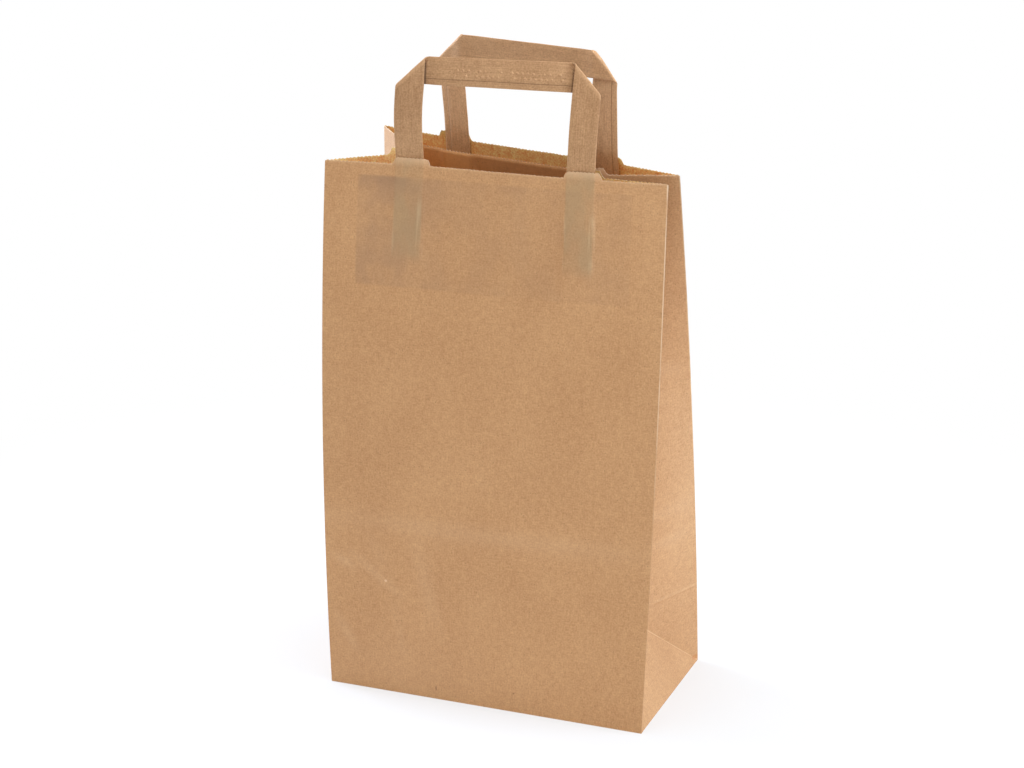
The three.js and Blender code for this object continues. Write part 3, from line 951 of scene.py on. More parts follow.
        def place(v: Array, height: Array | None, drop: Array) -> tuple[Array, Array]:
            """Places points at shares of the half's depth, at a height or at the cut rim."""
            along = self.shape.half_width - v * self.shape.half_depth
            rise = self.shape.tab_rise(along)
            top = self.shape.height + rise - drop if height is None else height
            points = self.shape.gusset(wall, side, v, top / self.shape.height)
            out = self.shape.gusset_normal(wall, side, top / self.shape.height)
            low_fold = self.shape.half_depth
            fade = np.sin(np.pi * v) * smooth(top, low_fold, low_fold + 30 * MM)
            bump = self.relief(v * self.shape.half_depth + 2 * side.sign, top) * fade * 0.8
            fold = np.exp(-(((top - low_fold) / (5 * MM)) ** 2)) * np.sin(np.pi * v)
            bump = bump + fold * self.fold_bulge * (wall.side is Side.REAR)
            points += out * bump[:, None]
            return points, top

        return place

    def tube(self, builder: MeshBuilder) -> None:
        """Adds the panels and gussets, and the low triangles between the diagonal folds.

        Args:
            builder: The mesh that they are added to.
        """
        shape, half = self.shape, self.shape.half_depth
        front, rear = shape.walls()
        self.face_rows(builder, self.panel_place(front), 0.0, shape.width, False)
        self.face_rows(builder, self.gusset_place(front, Side.RIGHT), shape.width, half, False)
        middle = shape.width + half
        self.face_rows(builder, self.gusset_place(rear, Side.RIGHT), middle, half, True)
        self.face_rows(builder, self.panel_place(rear), middle + half, shape.width, True)
        last = 2 * shape.width + shape.depth
        self.face_rows(builder, self.gusset_place(rear, Side.LEFT), last, half, False)
        self.face_rows(builder, self.gusset_place(front, Side.LEFT), last + half, half, True)
        for side in (Side.RIGHT, Side.LEFT):
            self.low_triangle(builder, side)

    def low_triangle(self, builder: MeshBuilder, side: Side) -> None:
        """Adds the flat triangle between the base edge and the two diagonal folds.

        Args:
            builder: The mesh that it is added to.
            side: LEFT or RIGHT.
        """
        shape = self.shape
        rows = [s for s in self.shares() if s <= shape.apex_share + 1e-9]
        share = np.linspace(0.0, 1.0, 25)
        first, second = shape.walls() if side is Side.RIGHT else shape.walls()[::-1]
        start = shape.width if side is Side.RIGHT else 2 * shape.width + shape.depth
        last = None
        for s in rows:
            a = shape.crease(first, side, np.asarray(s))
            b = shape.crease(second, side, np.asarray(s))
            points = a + (b - a) * share[:, None]
            inset = s / shape.apex_share * shape.half_depth
            across = start + inset + share * (shape.depth - 2 * inset)
            flat = np.stack([across, np.full_like(share, s * shape.height)], axis=1)
            numbers = builder.row(points, flat)
            if last is not None:
                builder.join(last, numbers)
            last = numbers

    def flap(self, low: float, high: float, outline: list[tuple[float, float]]) -> bpy.types.Object:
        """One folded layer of the base.

        Args:
            low: The height of its under face.
            high: The height of its upper face.
            outline: Its corners, seen from above.

        Returns:
            The layer as a closed mesh.
        """
        mesh = bpy.data.meshes.new("flap")
        shell = bmesh.new()
        ring = [shell.verts.new((x, y, low)) for x, y in outline]
        face = shell.faces.new(ring)
        done = bmesh.ops.extrude_face_region(shell, geom=[face])
        for item in done["geom"]:
            if isinstance(item, bmesh.types.BMVert):
                item.co.z = high
        bmesh.ops.recalc_face_normals(shell, faces=shell.faces)
        uv = shell.loops.layers.uv.new("sheet")
        for part in shell.faces:
            for corner in part.loops:
                corner[uv].uv = (corner.vert.co.x + 0.9, corner.vert.co.y + 0.6)
        shell.to_mesh(mesh)
        shell.free()
        mesh.attributes.new("wear_and_painted_light", "FLOAT", "POINT")
        return add_object("flap", mesh)

    def base(self) -> list[bpy.types.Object]:
        """Returns the base's layers: the tucked ends, the rear flap and the outer flap."""
        shape, paper = self.shape, self.shape.paper
        wide, deep = shape.half_width, shape.half_depth
        end = wide - (deep + self.flap_overlap)
        share, drop = self.teeth(2 * end)
        cut = [(end - 2 * end * s, self.flap_overlap - d) for s, d in zip(share, drop)]
        outer = [(-wide, -deep), (wide, -deep), *cut]
        rear = [(wide, deep), (-wide, deep), *[(-x, -y) for x, y in cut]]
        inset = shape.crease_inset * (self.floor_layers * paper) / shape.apex_height
        tucked = [(-wide + inset, -deep), (wide - inset, -deep), (wide - inset, deep)]
        tucked.append((-wide + inset, deep))
        return [
            self.flap(0.0, paper, outer),
            self.flap(paper, 2 * paper, rear),
            self.flap(2 * paper, self.floor_layers * paper, tucked),
        ]

    def build(self) -> bpy.types.Object:
        """Returns the finished sheet."""
        builder = MeshBuilder()
        self.tube(builder)
        sheet = builder.build("paper_sheet")
        for finish in (self.outside(), KRAFT_IN_PAINTED_BACKLIGHT.material(), KRAFT_CUT.material()):
            sheet.data.materials.append(finish)
        add_shell(sheet, self.shape.paper, (1, 2))
        sheet.data = bpy.data.meshes.new_from_object(
            sheet.evaluated_get(bpy.context.evaluated_depsgraph_get())
        )
        sheet.modifiers.clear()
        lift = np.empty(len(sheet.data.vertices) * 3)
        sheet.data.vertices.foreach_get("co", lift)
        lift[2::3] = np.maximum(lift[2::3], 0.1 * MM)
        sheet.data.vertices.foreach_set("co", lift)
        return self.merge(sheet, self.base())

    def merge(self, sheet: bpy.types.Object, others: list[bpy.types.Object]) -> bpy.types.Object:
        """Joins the base's layers to the tube, as they are one sheet.

        Args:
            sheet: The tube.
            others: The layers.

        Returns:
            The tube, with the layers in its mesh.
        """
        with bpy.context.temp_override(
            active_object=sheet, selected_editable_objects=[sheet, *others]
        ):
            bpy.ops.object.join()
        return finish_piece(sheet, ("bag_body",))

    def outside(self) -> bpy.types.Material:
        """Returns the outer paper, with the patch and the tape's legs showing through it."""
        sheet = NodeSheet(KRAFT_OUT.name)
        colour = KRAFT_OUT.pulp(sheet)
        shape = self.shape
        layers: object = 0.0
        for wall in shape.walls():
            turned = -1 if wall.side is Side.REAR else 1
            middle = shape.width / 2 + (shape.width + shape.depth) * (turned < 0)
            colour = self.patch_shade(sheet, colour, middle, turned)
            for leg, foot in ((-0.5, wall.foot_left), (0.5, wall.foot_right)):
                place = middle + turned * (leg * shape.leg_spacing + foot)
                colour, strip = self.leg_shade(sheet, colour, place)
                layers = sheet.math("ADD", strip, layers)
        colour = self.fold_wear_and_highlight(sheet, colour)
        colour = self.low_folds(sheet, colour)
        for mark in MARKS:
            colour = mark.put_on(sheet, colour)
        # Pale tint from the sheet's values: old creases and the cut rim's wear, and painted light
        # on the front panel's low left corner.
        colour = sheet.tint(sheet.product(sheet.wear_and_light(), 0.55), colour, WORN_AND_LIT_SHEET)
        return KRAFT_OUT.close(sheet, colour, layers)

    def patch_shade(self, sheet: NodeSheet, colour: Socket, middle: float, turned: int) -> Socket:
        """The faint darker field where the patch shows through, strongest at its left end.

        Args:
            sheet: The material's nodes.
            colour: The colour so far.
            middle: The patch's middle on the flat sheet.
            turned: 1, or -1 where the sheet runs from right to left.

        Returns:
            The colour with the field on it.
        """
        shape, rim = self.shape, self.shape.height
        wide = sheet.line(sheet.u, middle, shape.patch_width / 2, 0.9 * MM)
        tall = sheet.band(sheet.v, rim - shape.patch_bottom, rim - shape.patch_top, 1.2 * MM)
        left = sheet.product(sheet.math("SUBTRACT", sheet.u, middle), turned)
        strong = sheet.spread(left, -60 * MM, -20 * MM, 0.36, 0.13)
        glue = sheet.spread(sheet.grain(PATCH_GLUE), 0.35, 0.65, 0.45, 1.35)
        top = sheet.spread(sheet.v, rim - 24 * MM, rim - 9 * MM, 0.85, 1.35)
        fac = sheet.product(wide, tall, strong, glue, top)
        return sheet.tint(fac, colour, PATCH_BELOW)

    def leg_shade(self, sheet: NodeSheet, colour: Socket, middle: float) -> tuple[Socket, Socket]:
        """The darker, greener strip where a leg shows through, with painted highlight along its
        raised edges.

        Args:
            sheet: The material's nodes.
            colour: The colour so far.
            middle: The strip's middle on the flat sheet.

        Returns:
            The colour with the strip on it, and where the strip lies.
        """
        half, rim = self.shape.tape_width / 2, self.shape.height
        end = rim - self.shape.leg_tuck
        tall = sheet.spread(sheet.v, end - 4 * MM, end + 7 * MM)
        strip = sheet.product(sheet.line(sheet.u, middle, half, 0.9 * MM), tall)
        glue = sheet.spread(sheet.grain(LEG_GLUE), 0.35, 0.65, 0.22, 0.5)
        colour = sheet.tint(sheet.product(strip, glue), colour, LEG_BELOW)
        # Painted highlight: pale lines along each leg's edges, where the raised edges catch the
        # light.
        low = sheet.band(sheet.v, rim - 58 * MM, rim - 24 * MM, 7 * MM)
        broken = sheet.spread(sheet.grain(BROKEN_EDGE), 0.42, 0.6)
        for edge, wide, strength in ((-half, 0.4 * MM, 0.3), (half - 0.6 * MM, 2.2 * MM, 0.24)):
            line = sheet.line(sheet.u, middle + edge, wide, 0.8 * MM)
            fac = sheet.product(line, low, broken, strength)
            colour = sheet.tint(fac, colour, LEG_EDGE_HIGHLIGHT)
        return colour, strip

    def fold_wear_and_highlight(self, sheet: NodeSheet, colour: Socket) -> Socket:
        """Pale lines along the upright folds: painted highlight where each fold's edge catches the
        light, with some rubbed wear.

        Args:
            sheet: The material's nodes.
            colour: The colour so far.

        Returns:
            The colour with the lines on it.
        """
        shape = self.shape
        breakup = sheet.spread(sheet.grain(UPRIGHT_FOLD_BREAKUP), 0.3, 0.6, 0.4, 1.0)
        high = sheet.spread(sheet.v, 110 * MM, 250 * MM, 0.12, 0.95)
        # Painted highlight along each upright fold, stronger higher up.
        for start in (shape.width, shape.width + shape.depth, 2 * shape.width + shape.depth):
            line = sheet.line(sheet.u, start, 0.35 * MM, 0.3 * MM)
            colour = sheet.tint(sheet.product(line, high, breakup), colour, UPRIGHT_FOLD_HIGHLIGHT)
        return colour

    def low_folds(self, sheet: NodeSheet, colour: Socket) -> Socket:
        """The gussets' low folds: the two diagonals, and the level fold across the rear half.

        Args:
            sheet: The material's nodes.
            colour: The colour so far.

        Returns:
            The colour with the folds' lines of painted highlight and painted shade on it.
        """
        shape, fold = self.shape, self.shape.half_depth
        breakup = sheet.spread(sheet.grain(LOW_FOLD_BREAKUP), 0.3, 0.6, 0.45, 1.0)
        for start, rear in ((shape.width, 1), (2 * shape.width + shape.depth, -1)):
            end = start + shape.depth
            below = sheet.spread(sheet.v, fold, fold + 1 * MM, 1.0, 0.0)
            inside = sheet.product(sheet.band(sheet.u, start, end, 0.1 * MM), below, breakup)
            rising = sheet.math("SUBTRACT", sheet.math("SUBTRACT", sheet.u, start), sheet.v)
            falling = sheet.math("ADD", sheet.math("SUBTRACT", sheet.u, end), sheet.v)
            for across in (rising, falling):
                # Painted highlight on each diagonal fold, and painted shade just beside it.
                for low, high, tint, share in (
                    (-0.5 * MM, 0.5 * MM, LOW_FOLD_HIGHLIGHT, 0.4),
                    (-1.9 * MM, -0.9 * MM, LOW_FOLD_SHADE, 0.3),
                ):
                    line = sheet.band(across, low, high, 0.35 * MM)
                    colour = sheet.tint(sheet.product(line, inside, share), colour, tint)
            middle = start + shape.depth / 2
            low_end, high_end = (middle, end) if rear > 0 else (start, middle)
            half = sheet.band(sheet.u, low_end, high_end, 0.5 * MM)
            away = sheet.math("ABSOLUTE", sheet.math("SUBTRACT", sheet.u, middle))
            level = sheet.math("ADD", sheet.v, sheet.product(away, 0.083))
            fade = sheet.spread(away, 4 * MM, 40 * MM, 0.35, 1.0)
            # Painted highlight on the level fold, and painted shade just below it.
            for low, high, tint, share in (
                (62.9 * MM, 64.6 * MM, LOW_FOLD_HIGHLIGHT, 0.16),
                (61.6 * MM, 62.5 * MM, LOW_FOLD_SHADE, 0.3),
            ):
                line = sheet.band(level, low, high, 0.5 * MM)
                fac = sheet.product(line, half, breakup, fade, share)
                colour = sheet.tint(fac, colour, tint)
        return colour


@dataclass(frozen=True)
class Mark:
    """A small stray mark on the flat sheet."""

    place: tuple[float, float]
    size: tuple[float, float]
    tint: tuple[float, float, float]
    strength: float

    def put_on(self, sheet: NodeSheet, colour: Socket) -> Socket:
        """Adds the mark.

        Args:
            sheet: The material's nodes.
            colour: The colour so far.

        Returns:
            The colour with the mark on it.
        """
        total: object = 0.0
        for value, centre, radius in zip((sheet.u, sheet.v), self.place, self.size):
            away = sheet.math("DIVIDE", sheet.math("SUBTRACT", value, centre), radius)
            total = sheet.math("ADD", sheet.product(away, away), total)
        near = sheet.spread(total, 0.4, 1.3, self.strength, 0.0)
        return sheet.tint(near, colour, self.tint)


MARKS = (
    Mark((76 * MM, 7.5 * MM), (0.45 * MM, 1.8 * MM), linear(120, 66, 44), 0.8),
    Mark((42 * MM, 79 * MM), (1.0 * MM, 0.9 * MM), linear(240, 208, 170), 0.6),
    Mark((131 * MM, 13 * MM), (0.6 * MM, 0.6 * MM), linear(128, 84, 56), 0.6),
    Mark((337.5 * MM, 3.5 * MM), (3.5 * MM, 2.0 * MM), linear(190, 120, 60), 0.5),
)


@dataclass(frozen=True)
class PaleBand:
    """A soft pale band on the flat sheet: most are lines where the paper was once folded or
    pressed, and one broad band is painted light.
    """

    start: tuple[float, float]
    end: tuple[float, float]
    width: float
    strength: float

    def cover(self, flat: Array) -> Array:
        """How strongly the crease covers places on the sheet.

        Args:
            flat: Places on the sheet, one to a line.

        Returns:
            Values from 0 to 1.
        """
        a, b = np.array(self.start), np.array(self.end)
        along = b - a
        t = np.clip((flat - a) @ along / (along @ along), 0.0, 1.0)
        away = np.linalg.norm(flat - (a + t[:, None] * along), axis=1)
        taper = 0.35 + 0.65 * np.sin(np.pi * np.clip(t, 0.05, 0.95))
        return np.exp(-((away / self.width) ** 2)) * taper


CREASES_AND_PAINTED_LIGHT = (
    PaleBand((0.0, 0.121), (0.220, 0.118), 6.5 * MM, 0.2),
    PaleBand((0.006, 0.092), (0.020, 0.086), 3.0 * MM, 0.34),
    PaleBand((0.018, 0.096), (0.052, 0.070), 3.2 * MM, 0.26),
    PaleBand((0.006, 0.050), (0.022, 0.022), 3.5 * MM, 0.3),
    PaleBand((0.062, 0.112), (0.080, 0.040), 6.0 * MM, 0.16),
    PaleBand((0.048, 0.060), (0.056, 0.014), 4.0 * MM, 0.18),
    PaleBand((0.030, 0.110), (0.044, 0.084), 5.0 * MM, 0.12),
    PaleBand((0.220, 0.128), (0.340, 0.124), 5.0 * MM, 0.2),
    PaleBand((0.290, 0.104), (0.340, 0.102), 4.0 * MM, 0.16),
    PaleBand((0.292, 0.228), (0.340, 0.221), 4.0 * MM, 0.16),
    # Not a crease: a broad band of painted light on the front panel's low left corner, standing in
    # for light bounced off the floor.
    PaleBand((0.0, 0.012), (0.120, -0.012), 42.0 * MM, 0.17),
)


@dataclass
class TapeHandle:
    """One folded paper tape: two legs, two corners folded at 45 degrees, and the bar."""

    shape: BagShape
    wall: Wall
    name: str
    node: str
    seam_inset: float = 4 * MM
    seam_step: float = 0.15 * MM
    fold_radius: float = 0.85 * MM
    fold_slope: float = 26 * MM
    fold_opening: float = 1.3 * MM
    station: float = 2 * MM
    fine_station: float = 0.7 * MM
    waviness: tuple[float, float] = (0.45 * MM, 0.12 * MM)
    site_rows: tuple[float, ...] = (59.6 * MM, 62.9 * MM)
    sites_in_row: int = 21
    first_site: float = -28 * MM
    site_pitch: float = 3.4 * MM
    site_size: float = 1 * MM
    site_sink: float = 0.03 * MM
    seed: float = 1.0
    finish: KraftFinish = KRAFT_TAPE

    @property
    def width(self) -> float:
        """Returns the tape's width."""
        return self.shape.tape_width

    @property
    def thickness(self) -> float:
        """Returns the tape's thickness."""
        return self.shape.tape_thickness

    @property
    def half_span(self) -> float:
        """Returns the distance from the handle's middle to a leg's outer edge."""
        return (self.shape.leg_spacing + self.width) / 2

    @property
    def inner_edge(self) -> float:
        """Returns the distance from the handle's middle to a leg's inner edge."""
        return self.half_span - self.width

    @property
    def face(self) -> float:
        """Returns how far off the panel's middle surface the tape's plain face lies."""
        return -self.shape.paper / 2 - self.shape.gap

    def section(self) -> Array:
        """Returns the tape's section: places from its seam edge, and depths from its plain face."""
        w, t, step, seam = self.width, self.thickness, self.seam_step, self.seam_inset
        low = t - step
        plain = [(x, 0.0) for x in np.linspace(0.35 * MM, w - 0.35 * MM, 13)]
        outer_edge = [(w - 0.1 * MM, 0.12 * MM), (w, t / 2), (w - 0.1 * MM, t - 0.12 * MM)]
        seamed = [(x, t) for x in np.linspace(w - 0.35 * MM, seam + 0.1 * MM, 10)]
        lap = [(seam, t - 0.05 * MM), (seam, low)]
        last = [(x, low) for x in np.linspace(seam - 0.6 * MM, 0.35 * MM, 4)]
        seam_edge = [(0.1 * MM, low - 0.1 * MM), (0.0, low / 2), (0.1 * MM, 0.1 * MM)]
        return np.array(plain + outer_edge + seamed + lap + last + seam_edge)

    def stations(self) -> list[tuple[float, float]]:
        """Returns each ring's height at the seam edge, and its slant: 1 along the corner fold."""
        shoulder = self.shoulder
        wrap = math.sqrt(2) * math.pi * self.fold_radius
        end = shoulder + self.half_span + math.pi * self.fold_radius / math.sqrt(2)
        slope = self.fold_slope
        rings = []
        for z in np.arange(-self.shape.leg_tuck, shoulder - 1e-6, self.station):
            rings.append((z, float(smooth(z, shoulder - slope, shoulder - 2 * MM))))
        for z in np.linspace(shoulder, shoulder + wrap, 9):
            rings.append((float(z), 1.0))
        count = round((end - shoulder - wrap) / self.station)
        step = self.fine_station
        fine = np.arange(shoulder + wrap + step, shoulder + slope + 1 * MM, step)
        coarse = np.linspace(shoulder + wrap, end, count + 1)[1:]
        for z in np.concatenate([fine, coarse[coarse > fine[-1] + 0.5 * MM]]):
            rings.append((float(z), 1 - float(smooth(z, shoulder + wrap, shoulder + wrap + slope))))
        return rings

    @property
    def shoulder(self) -> float:
        """Returns the height above the rim line at which the corner fold starts."""
        return self.shape.handle_height - self.width - math.pi * self.fold_radius / math.sqrt(2)

    def folded(self, z: float, slant: float) -> tuple[Array, Array, Array]:
        """One ring of the left half, folded over the corner.

        Args:
            z: The ring's height at the seam edge, on the straight tape.
            slant: How much the ring rises across the tape.

        Returns:
            The section's places across, rises and depths.
        """
        b, y = self.section().T
        zeta = z + slant * b - self.shoulder
        along, away = (b + zeta) / math.sqrt(2), (zeta - b) / math.sqrt(2)
        radius = self.fold_radius
        turn = np.clip(away / radius, 0.0, math.pi)
        normal = np.where(away <= 0, away, (radius - y) * np.sin(turn))
        normal = np.where(away > math.pi * radius, math.pi * radius - away, normal)
        depth = radius - (radius - y) * np.cos(turn)
        across = -self.half_span + (along - normal) / math.sqrt(2)
        rise = self.shoulder + (along + normal) / math.sqrt(2)
        inner = np.abs(np.abs(across) - self.inner_edge)
        open_gap = self.fold_opening * np.exp(-((inner / (6 * MM)) ** 2)) * (turn >= math.pi)
        return across, rise, depth + open_gap

    def drift(self, across: Array, rise: Array) -> Array:
        """How far a leg or the bar's end strays sideways, and how a leg curves."""
        leg = smooth(np.abs(across), 20 * MM, 44 * MM)
        glued = 1 - smooth(rise, -4 * MM, 62 * MM)
        curve = np.sin(np.pi * np.clip(rise / (52 * MM), 0.0, 1.0)) * self.wall.leg_curve
        reach = smooth(rise, 46 * MM, 70 * MM) * self.wall.bar_reach * (across > 0)
        return leg * (self.wall.foot(across) * glued + curve * (across < 0) + reach)

    def build(self) -> bpy.types.Object:
        """Returns the finished tape."""
        builder = MeshBuilder()
        rings = self.stations()
        halves = [(z, slant, 1.0) for z, slant in rings]
        halves += [(z, slant, -1.0) for z, slant in rings[-2::-1]]
        last, first = None, None
        b, y = self.section().T
        seamed = y > self.thickness / 2
        for z, slant, mirror in halves:
            across, rise, depth = self.folded(z, slant)
            out = self.face - depth + self.crumple(mirror * across, rise)
            across = mirror * across
            points = self.shape.layer(self.wall, across + self.drift(across, rise), rise, out)
            flat_length = (z if mirror > 0 else 2 * rings[-1][0] - z) + 0.2
            turned = np.where(seamed, b + 0.05, b)
            flat = np.stack([turned, flat_length + mirror * slant * b], axis=1)
            # Painted highlight along the tape's edges and the start of its corner fold, where they
            # catch the light, together with wear.
            edge = np.minimum(b, self.width - b) < 0.25 * MM
            on_fold = abs(slant - 1) < 1e-6 and z < self.shoulder + 7 * MM
            wear_and_light = np.maximum(0.5 * edge, 0.6 * (on_fold and z > self.shoulder - 1 * MM))
            # Painted shade: a dark line on the bar's seamed face along each leg's inner edge, where
            # the gap between them lies in shade.
            gap_shade = np.abs(np.abs(across) - self.inner_edge + 0.2 * MM)
            gap_shade = np.exp(-((gap_shade / (0.75 * MM)) ** 2)) * (z > self.shoulder + 6 * MM) * seamed
            wear_and_light = np.where(gap_shade > 0.05, -gap_shade, wear_and_light)
            numbers = builder.row(points, flat, wear_and_light)
            if last is not None:
                self.close_ring(builder, last, numbers)
            else:
                first = numbers
            last = numbers
        builder.faces.append(tuple(first[::-1]))
        builder.faces.append(tuple(last))
        tape = builder.build(self.name, weld=1e-7)
        self.face_out(tape)
        tape.data.materials.append(self.finish.material())
        return finish_piece(tape, (self.node,), angle=35.0)

    def close_ring(self, builder: MeshBuilder, low: Array, high: Array) -> None:
        """Joins two rings all the way round."""
        count = len(low)
        for i in range(count):
            j = (i + 1) % count
            builder.faces.append((low[i], low[j], high[j], high[i]))

    def face_out(self, tape: bpy.types.Object) -> None:
        """Turns every face of the tape outwards."""
        shell = bmesh.new()
        shell.from_mesh(tape.data)
        bmesh.ops.recalc_face_normals(shell, faces=shell.faces)
        shell.to_mesh(tape.data)
        shell.free()

    def crumple(self, across: Array, rise: Array) -> Array:
        """Small unevenness of the free part of the tape, for places on it."""
        free = smooth(rise, 6 * MM, 20 * MM)
        broad = ripple(across, rise, 18 * MM, self.seed) * self.waviness[0]
        return (broad + ripple(across, rise, 6 * MM, self.seed + 3) * self.waviness[1]) * free

    def press_sites(self) -> bpy.types.Object:
        """A strip of small squares along the bar's outer face, one for each pressed mark."""
        mesh = bpy.data.meshes.new("press_sites")
        shell = bmesh.new()
        depth = 2 * self.fold_radius - self.thickness
        half = self.site_size / 2
        for row, rise in enumerate(self.site_rows):
            for step in range(self.sites_in_row):
                across = self.first_site + (step + 0.5 * row) * self.site_pitch
                x = across + half * np.array([-1.0, 1.0, 1.0, -1.0])
                z = rise + half * np.array([-1.0, -1.0, 1.0, 1.0])
                out = self.face - depth + self.crumple(x, z) - self.site_sink
                ring = [shell.verts.new(p) for p in self.shape.layer(self.wall, x, z, out)]
                shell.faces.new(ring)
        shell.to_mesh(mesh)
        shell.free()
        return add_object("press_sites", mesh)


@dataclass
class PressMarks:
    """Small diamonds that the gluing rollers pressed into the front bar, set out by nodes."""

    sites: bpy.types.Object
    radius: float = 1.6 * MM
    height: float = 0.5 * MM
    kept: float = 0.75
    # How much paler the marks are: a painted highlight for the light that their raised facets
    # catch.
    wear_and_painted_light: float = 0.3
    seed: int = 7

    def tree(self, material: bpy.types.Material) -> bpy.types.GeometryNodeTree:
        """Lays out the nodes: a flat pyramid on each chosen site, square to the paper.

        Args:
            material: The marks' material.

        Returns:
            The node tree.
        """
        tree = bpy.data.node_groups.new("press_marks", "GeometryNodeTree")
        face = tree.interface
        face.new_socket("Sites", in_out="INPUT", socket_type="NodeSocketGeometry")
        for name in ("Radius", "Height", "Kept"):
            face.new_socket(name, in_out="INPUT", socket_type="NodeSocketFloat")
        face.new_socket("Marks", in_out="OUTPUT", socket_type="NodeSocketGeometry")
        node = tree.nodes.new
        start, end = node("NodeGroupInput"), node("NodeGroupOutput")
        normal, turn = node("GeometryNodeInputNormal"), node("FunctionNodeAlignRotationToVector")
        turn.axis = "Z"
        stored = node("GeometryNodeCaptureAttribute")
        stored.domain = "FACE"
        stored.capture_items.new("ROTATION", "Turn")
        points, pick = node("GeometryNodeMeshToPoints"), node("FunctionNodeRandomValue")
        points.mode = "FACES"
        pick.data_type = "BOOLEAN"
        pick.inputs["Seed"].default_value = self.seed
        grow = node("FunctionNodeRandomValue")
        grow.inputs["Min"].default_value, grow.inputs["Max"].default_value = 0.7, 1.1
        grow.inputs["Seed"].default_value = self.seed + 1
        cone, place = node("GeometryNodeMeshCone"), node("GeometryNodeInstanceOnPoints")
        cone.inputs["Vertices"].default_value = 4
        cone.inputs["Radius Top"].default_value = 0.0
        real, paint = node("GeometryNodeRealizeInstances"), node("GeometryNodeSetMaterial")
        paint.inputs["Material"].default_value = material
        link = tree.links.new
        link(normal.outputs[0], turn.inputs["Vector"])
        link(start.outputs["Sites"], stored.inputs["Geometry"])
        link(turn.outputs[0], stored.inputs["Turn"])
        link(stored.outputs["Geometry"], points.inputs["Mesh"])
        link(start.outputs["Kept"], pick.inputs["Probability"])
        link(points.outputs[0], place.inputs["Points"])
        link(pick.outputs[3], place.inputs["Selection"])
        link(start.outputs["Radius"], cone.inputs["Radius Bottom"])
        link(start.outputs["Height"], cone.inputs["Depth"])
        link(cone.outputs["Mesh"], place.inputs["Instance"])
        link(stored.outputs["Turn"], place.inputs["Rotation"])
        link(grow.outputs[1], place.inputs["Scale"])
        link(place.outputs[0], real.inputs[0])
        link(real.outputs[0], paint.inputs[0])
        link(paint.outputs[0], end.inputs[0])
        return tree

    def build(self) -> bpy.types.Object:
        """Returns the marks as one plain mesh."""
        material = KRAFT_TAPE.material()
        tree = self.tree(material)
        nodes = self.sites.modifiers.new("press_marks", "NODES")
        nodes.node_group = tree
        sizes = {"Radius": self.radius, "Height": self.height, "Kept": self.kept}
        for item in tree.interface.items_tree:
            if item.in_out == "INPUT" and item.name in sizes:
                nodes[item.identifier] = sizes[item.name]
        graph = bpy.context.evaluated_depsgraph_get()
        mesh = bpy.data.meshes.new_from_object(self.sites.evaluated_get(graph))
        self.sites.modifiers.clear()
        marks = add_object("press_marks", mesh)
        bpy.data.objects.remove(self.sites)
        self.lay_out(mesh)
        return finish_piece(marks, ())

    def lay_out(self, mesh: bpy.types.Mesh) -> None:
        """Gives the marks the sheet coordinates and the paleness, a painted highlight, that the
        paper's nodes read.
        """
        co = np.empty(len(mesh.vertices) * 3)
        mesh.vertices.foreach_get("co", co)
        flat = co.reshape(-1, 3)[:, [0, 2]]
        corner = np.empty(len(mesh.loops), dtype=np.int32)
        mesh.loops.foreach_get("vertex_index", corner)
        while mesh.uv_layers:
            mesh.uv_layers.remove(mesh.uv_layers[0])
        mesh.uv_layers.new(name="sheet").data.foreach_set("uv", flat[corner].ravel())
        wear_and_light = mesh.attributes.new("wear_and_painted_light", "FLOAT", "POINT")
        wear_and_light.data.foreach_set("value", np.full(len(mesh.vertices), self.wear_and_painted_light))


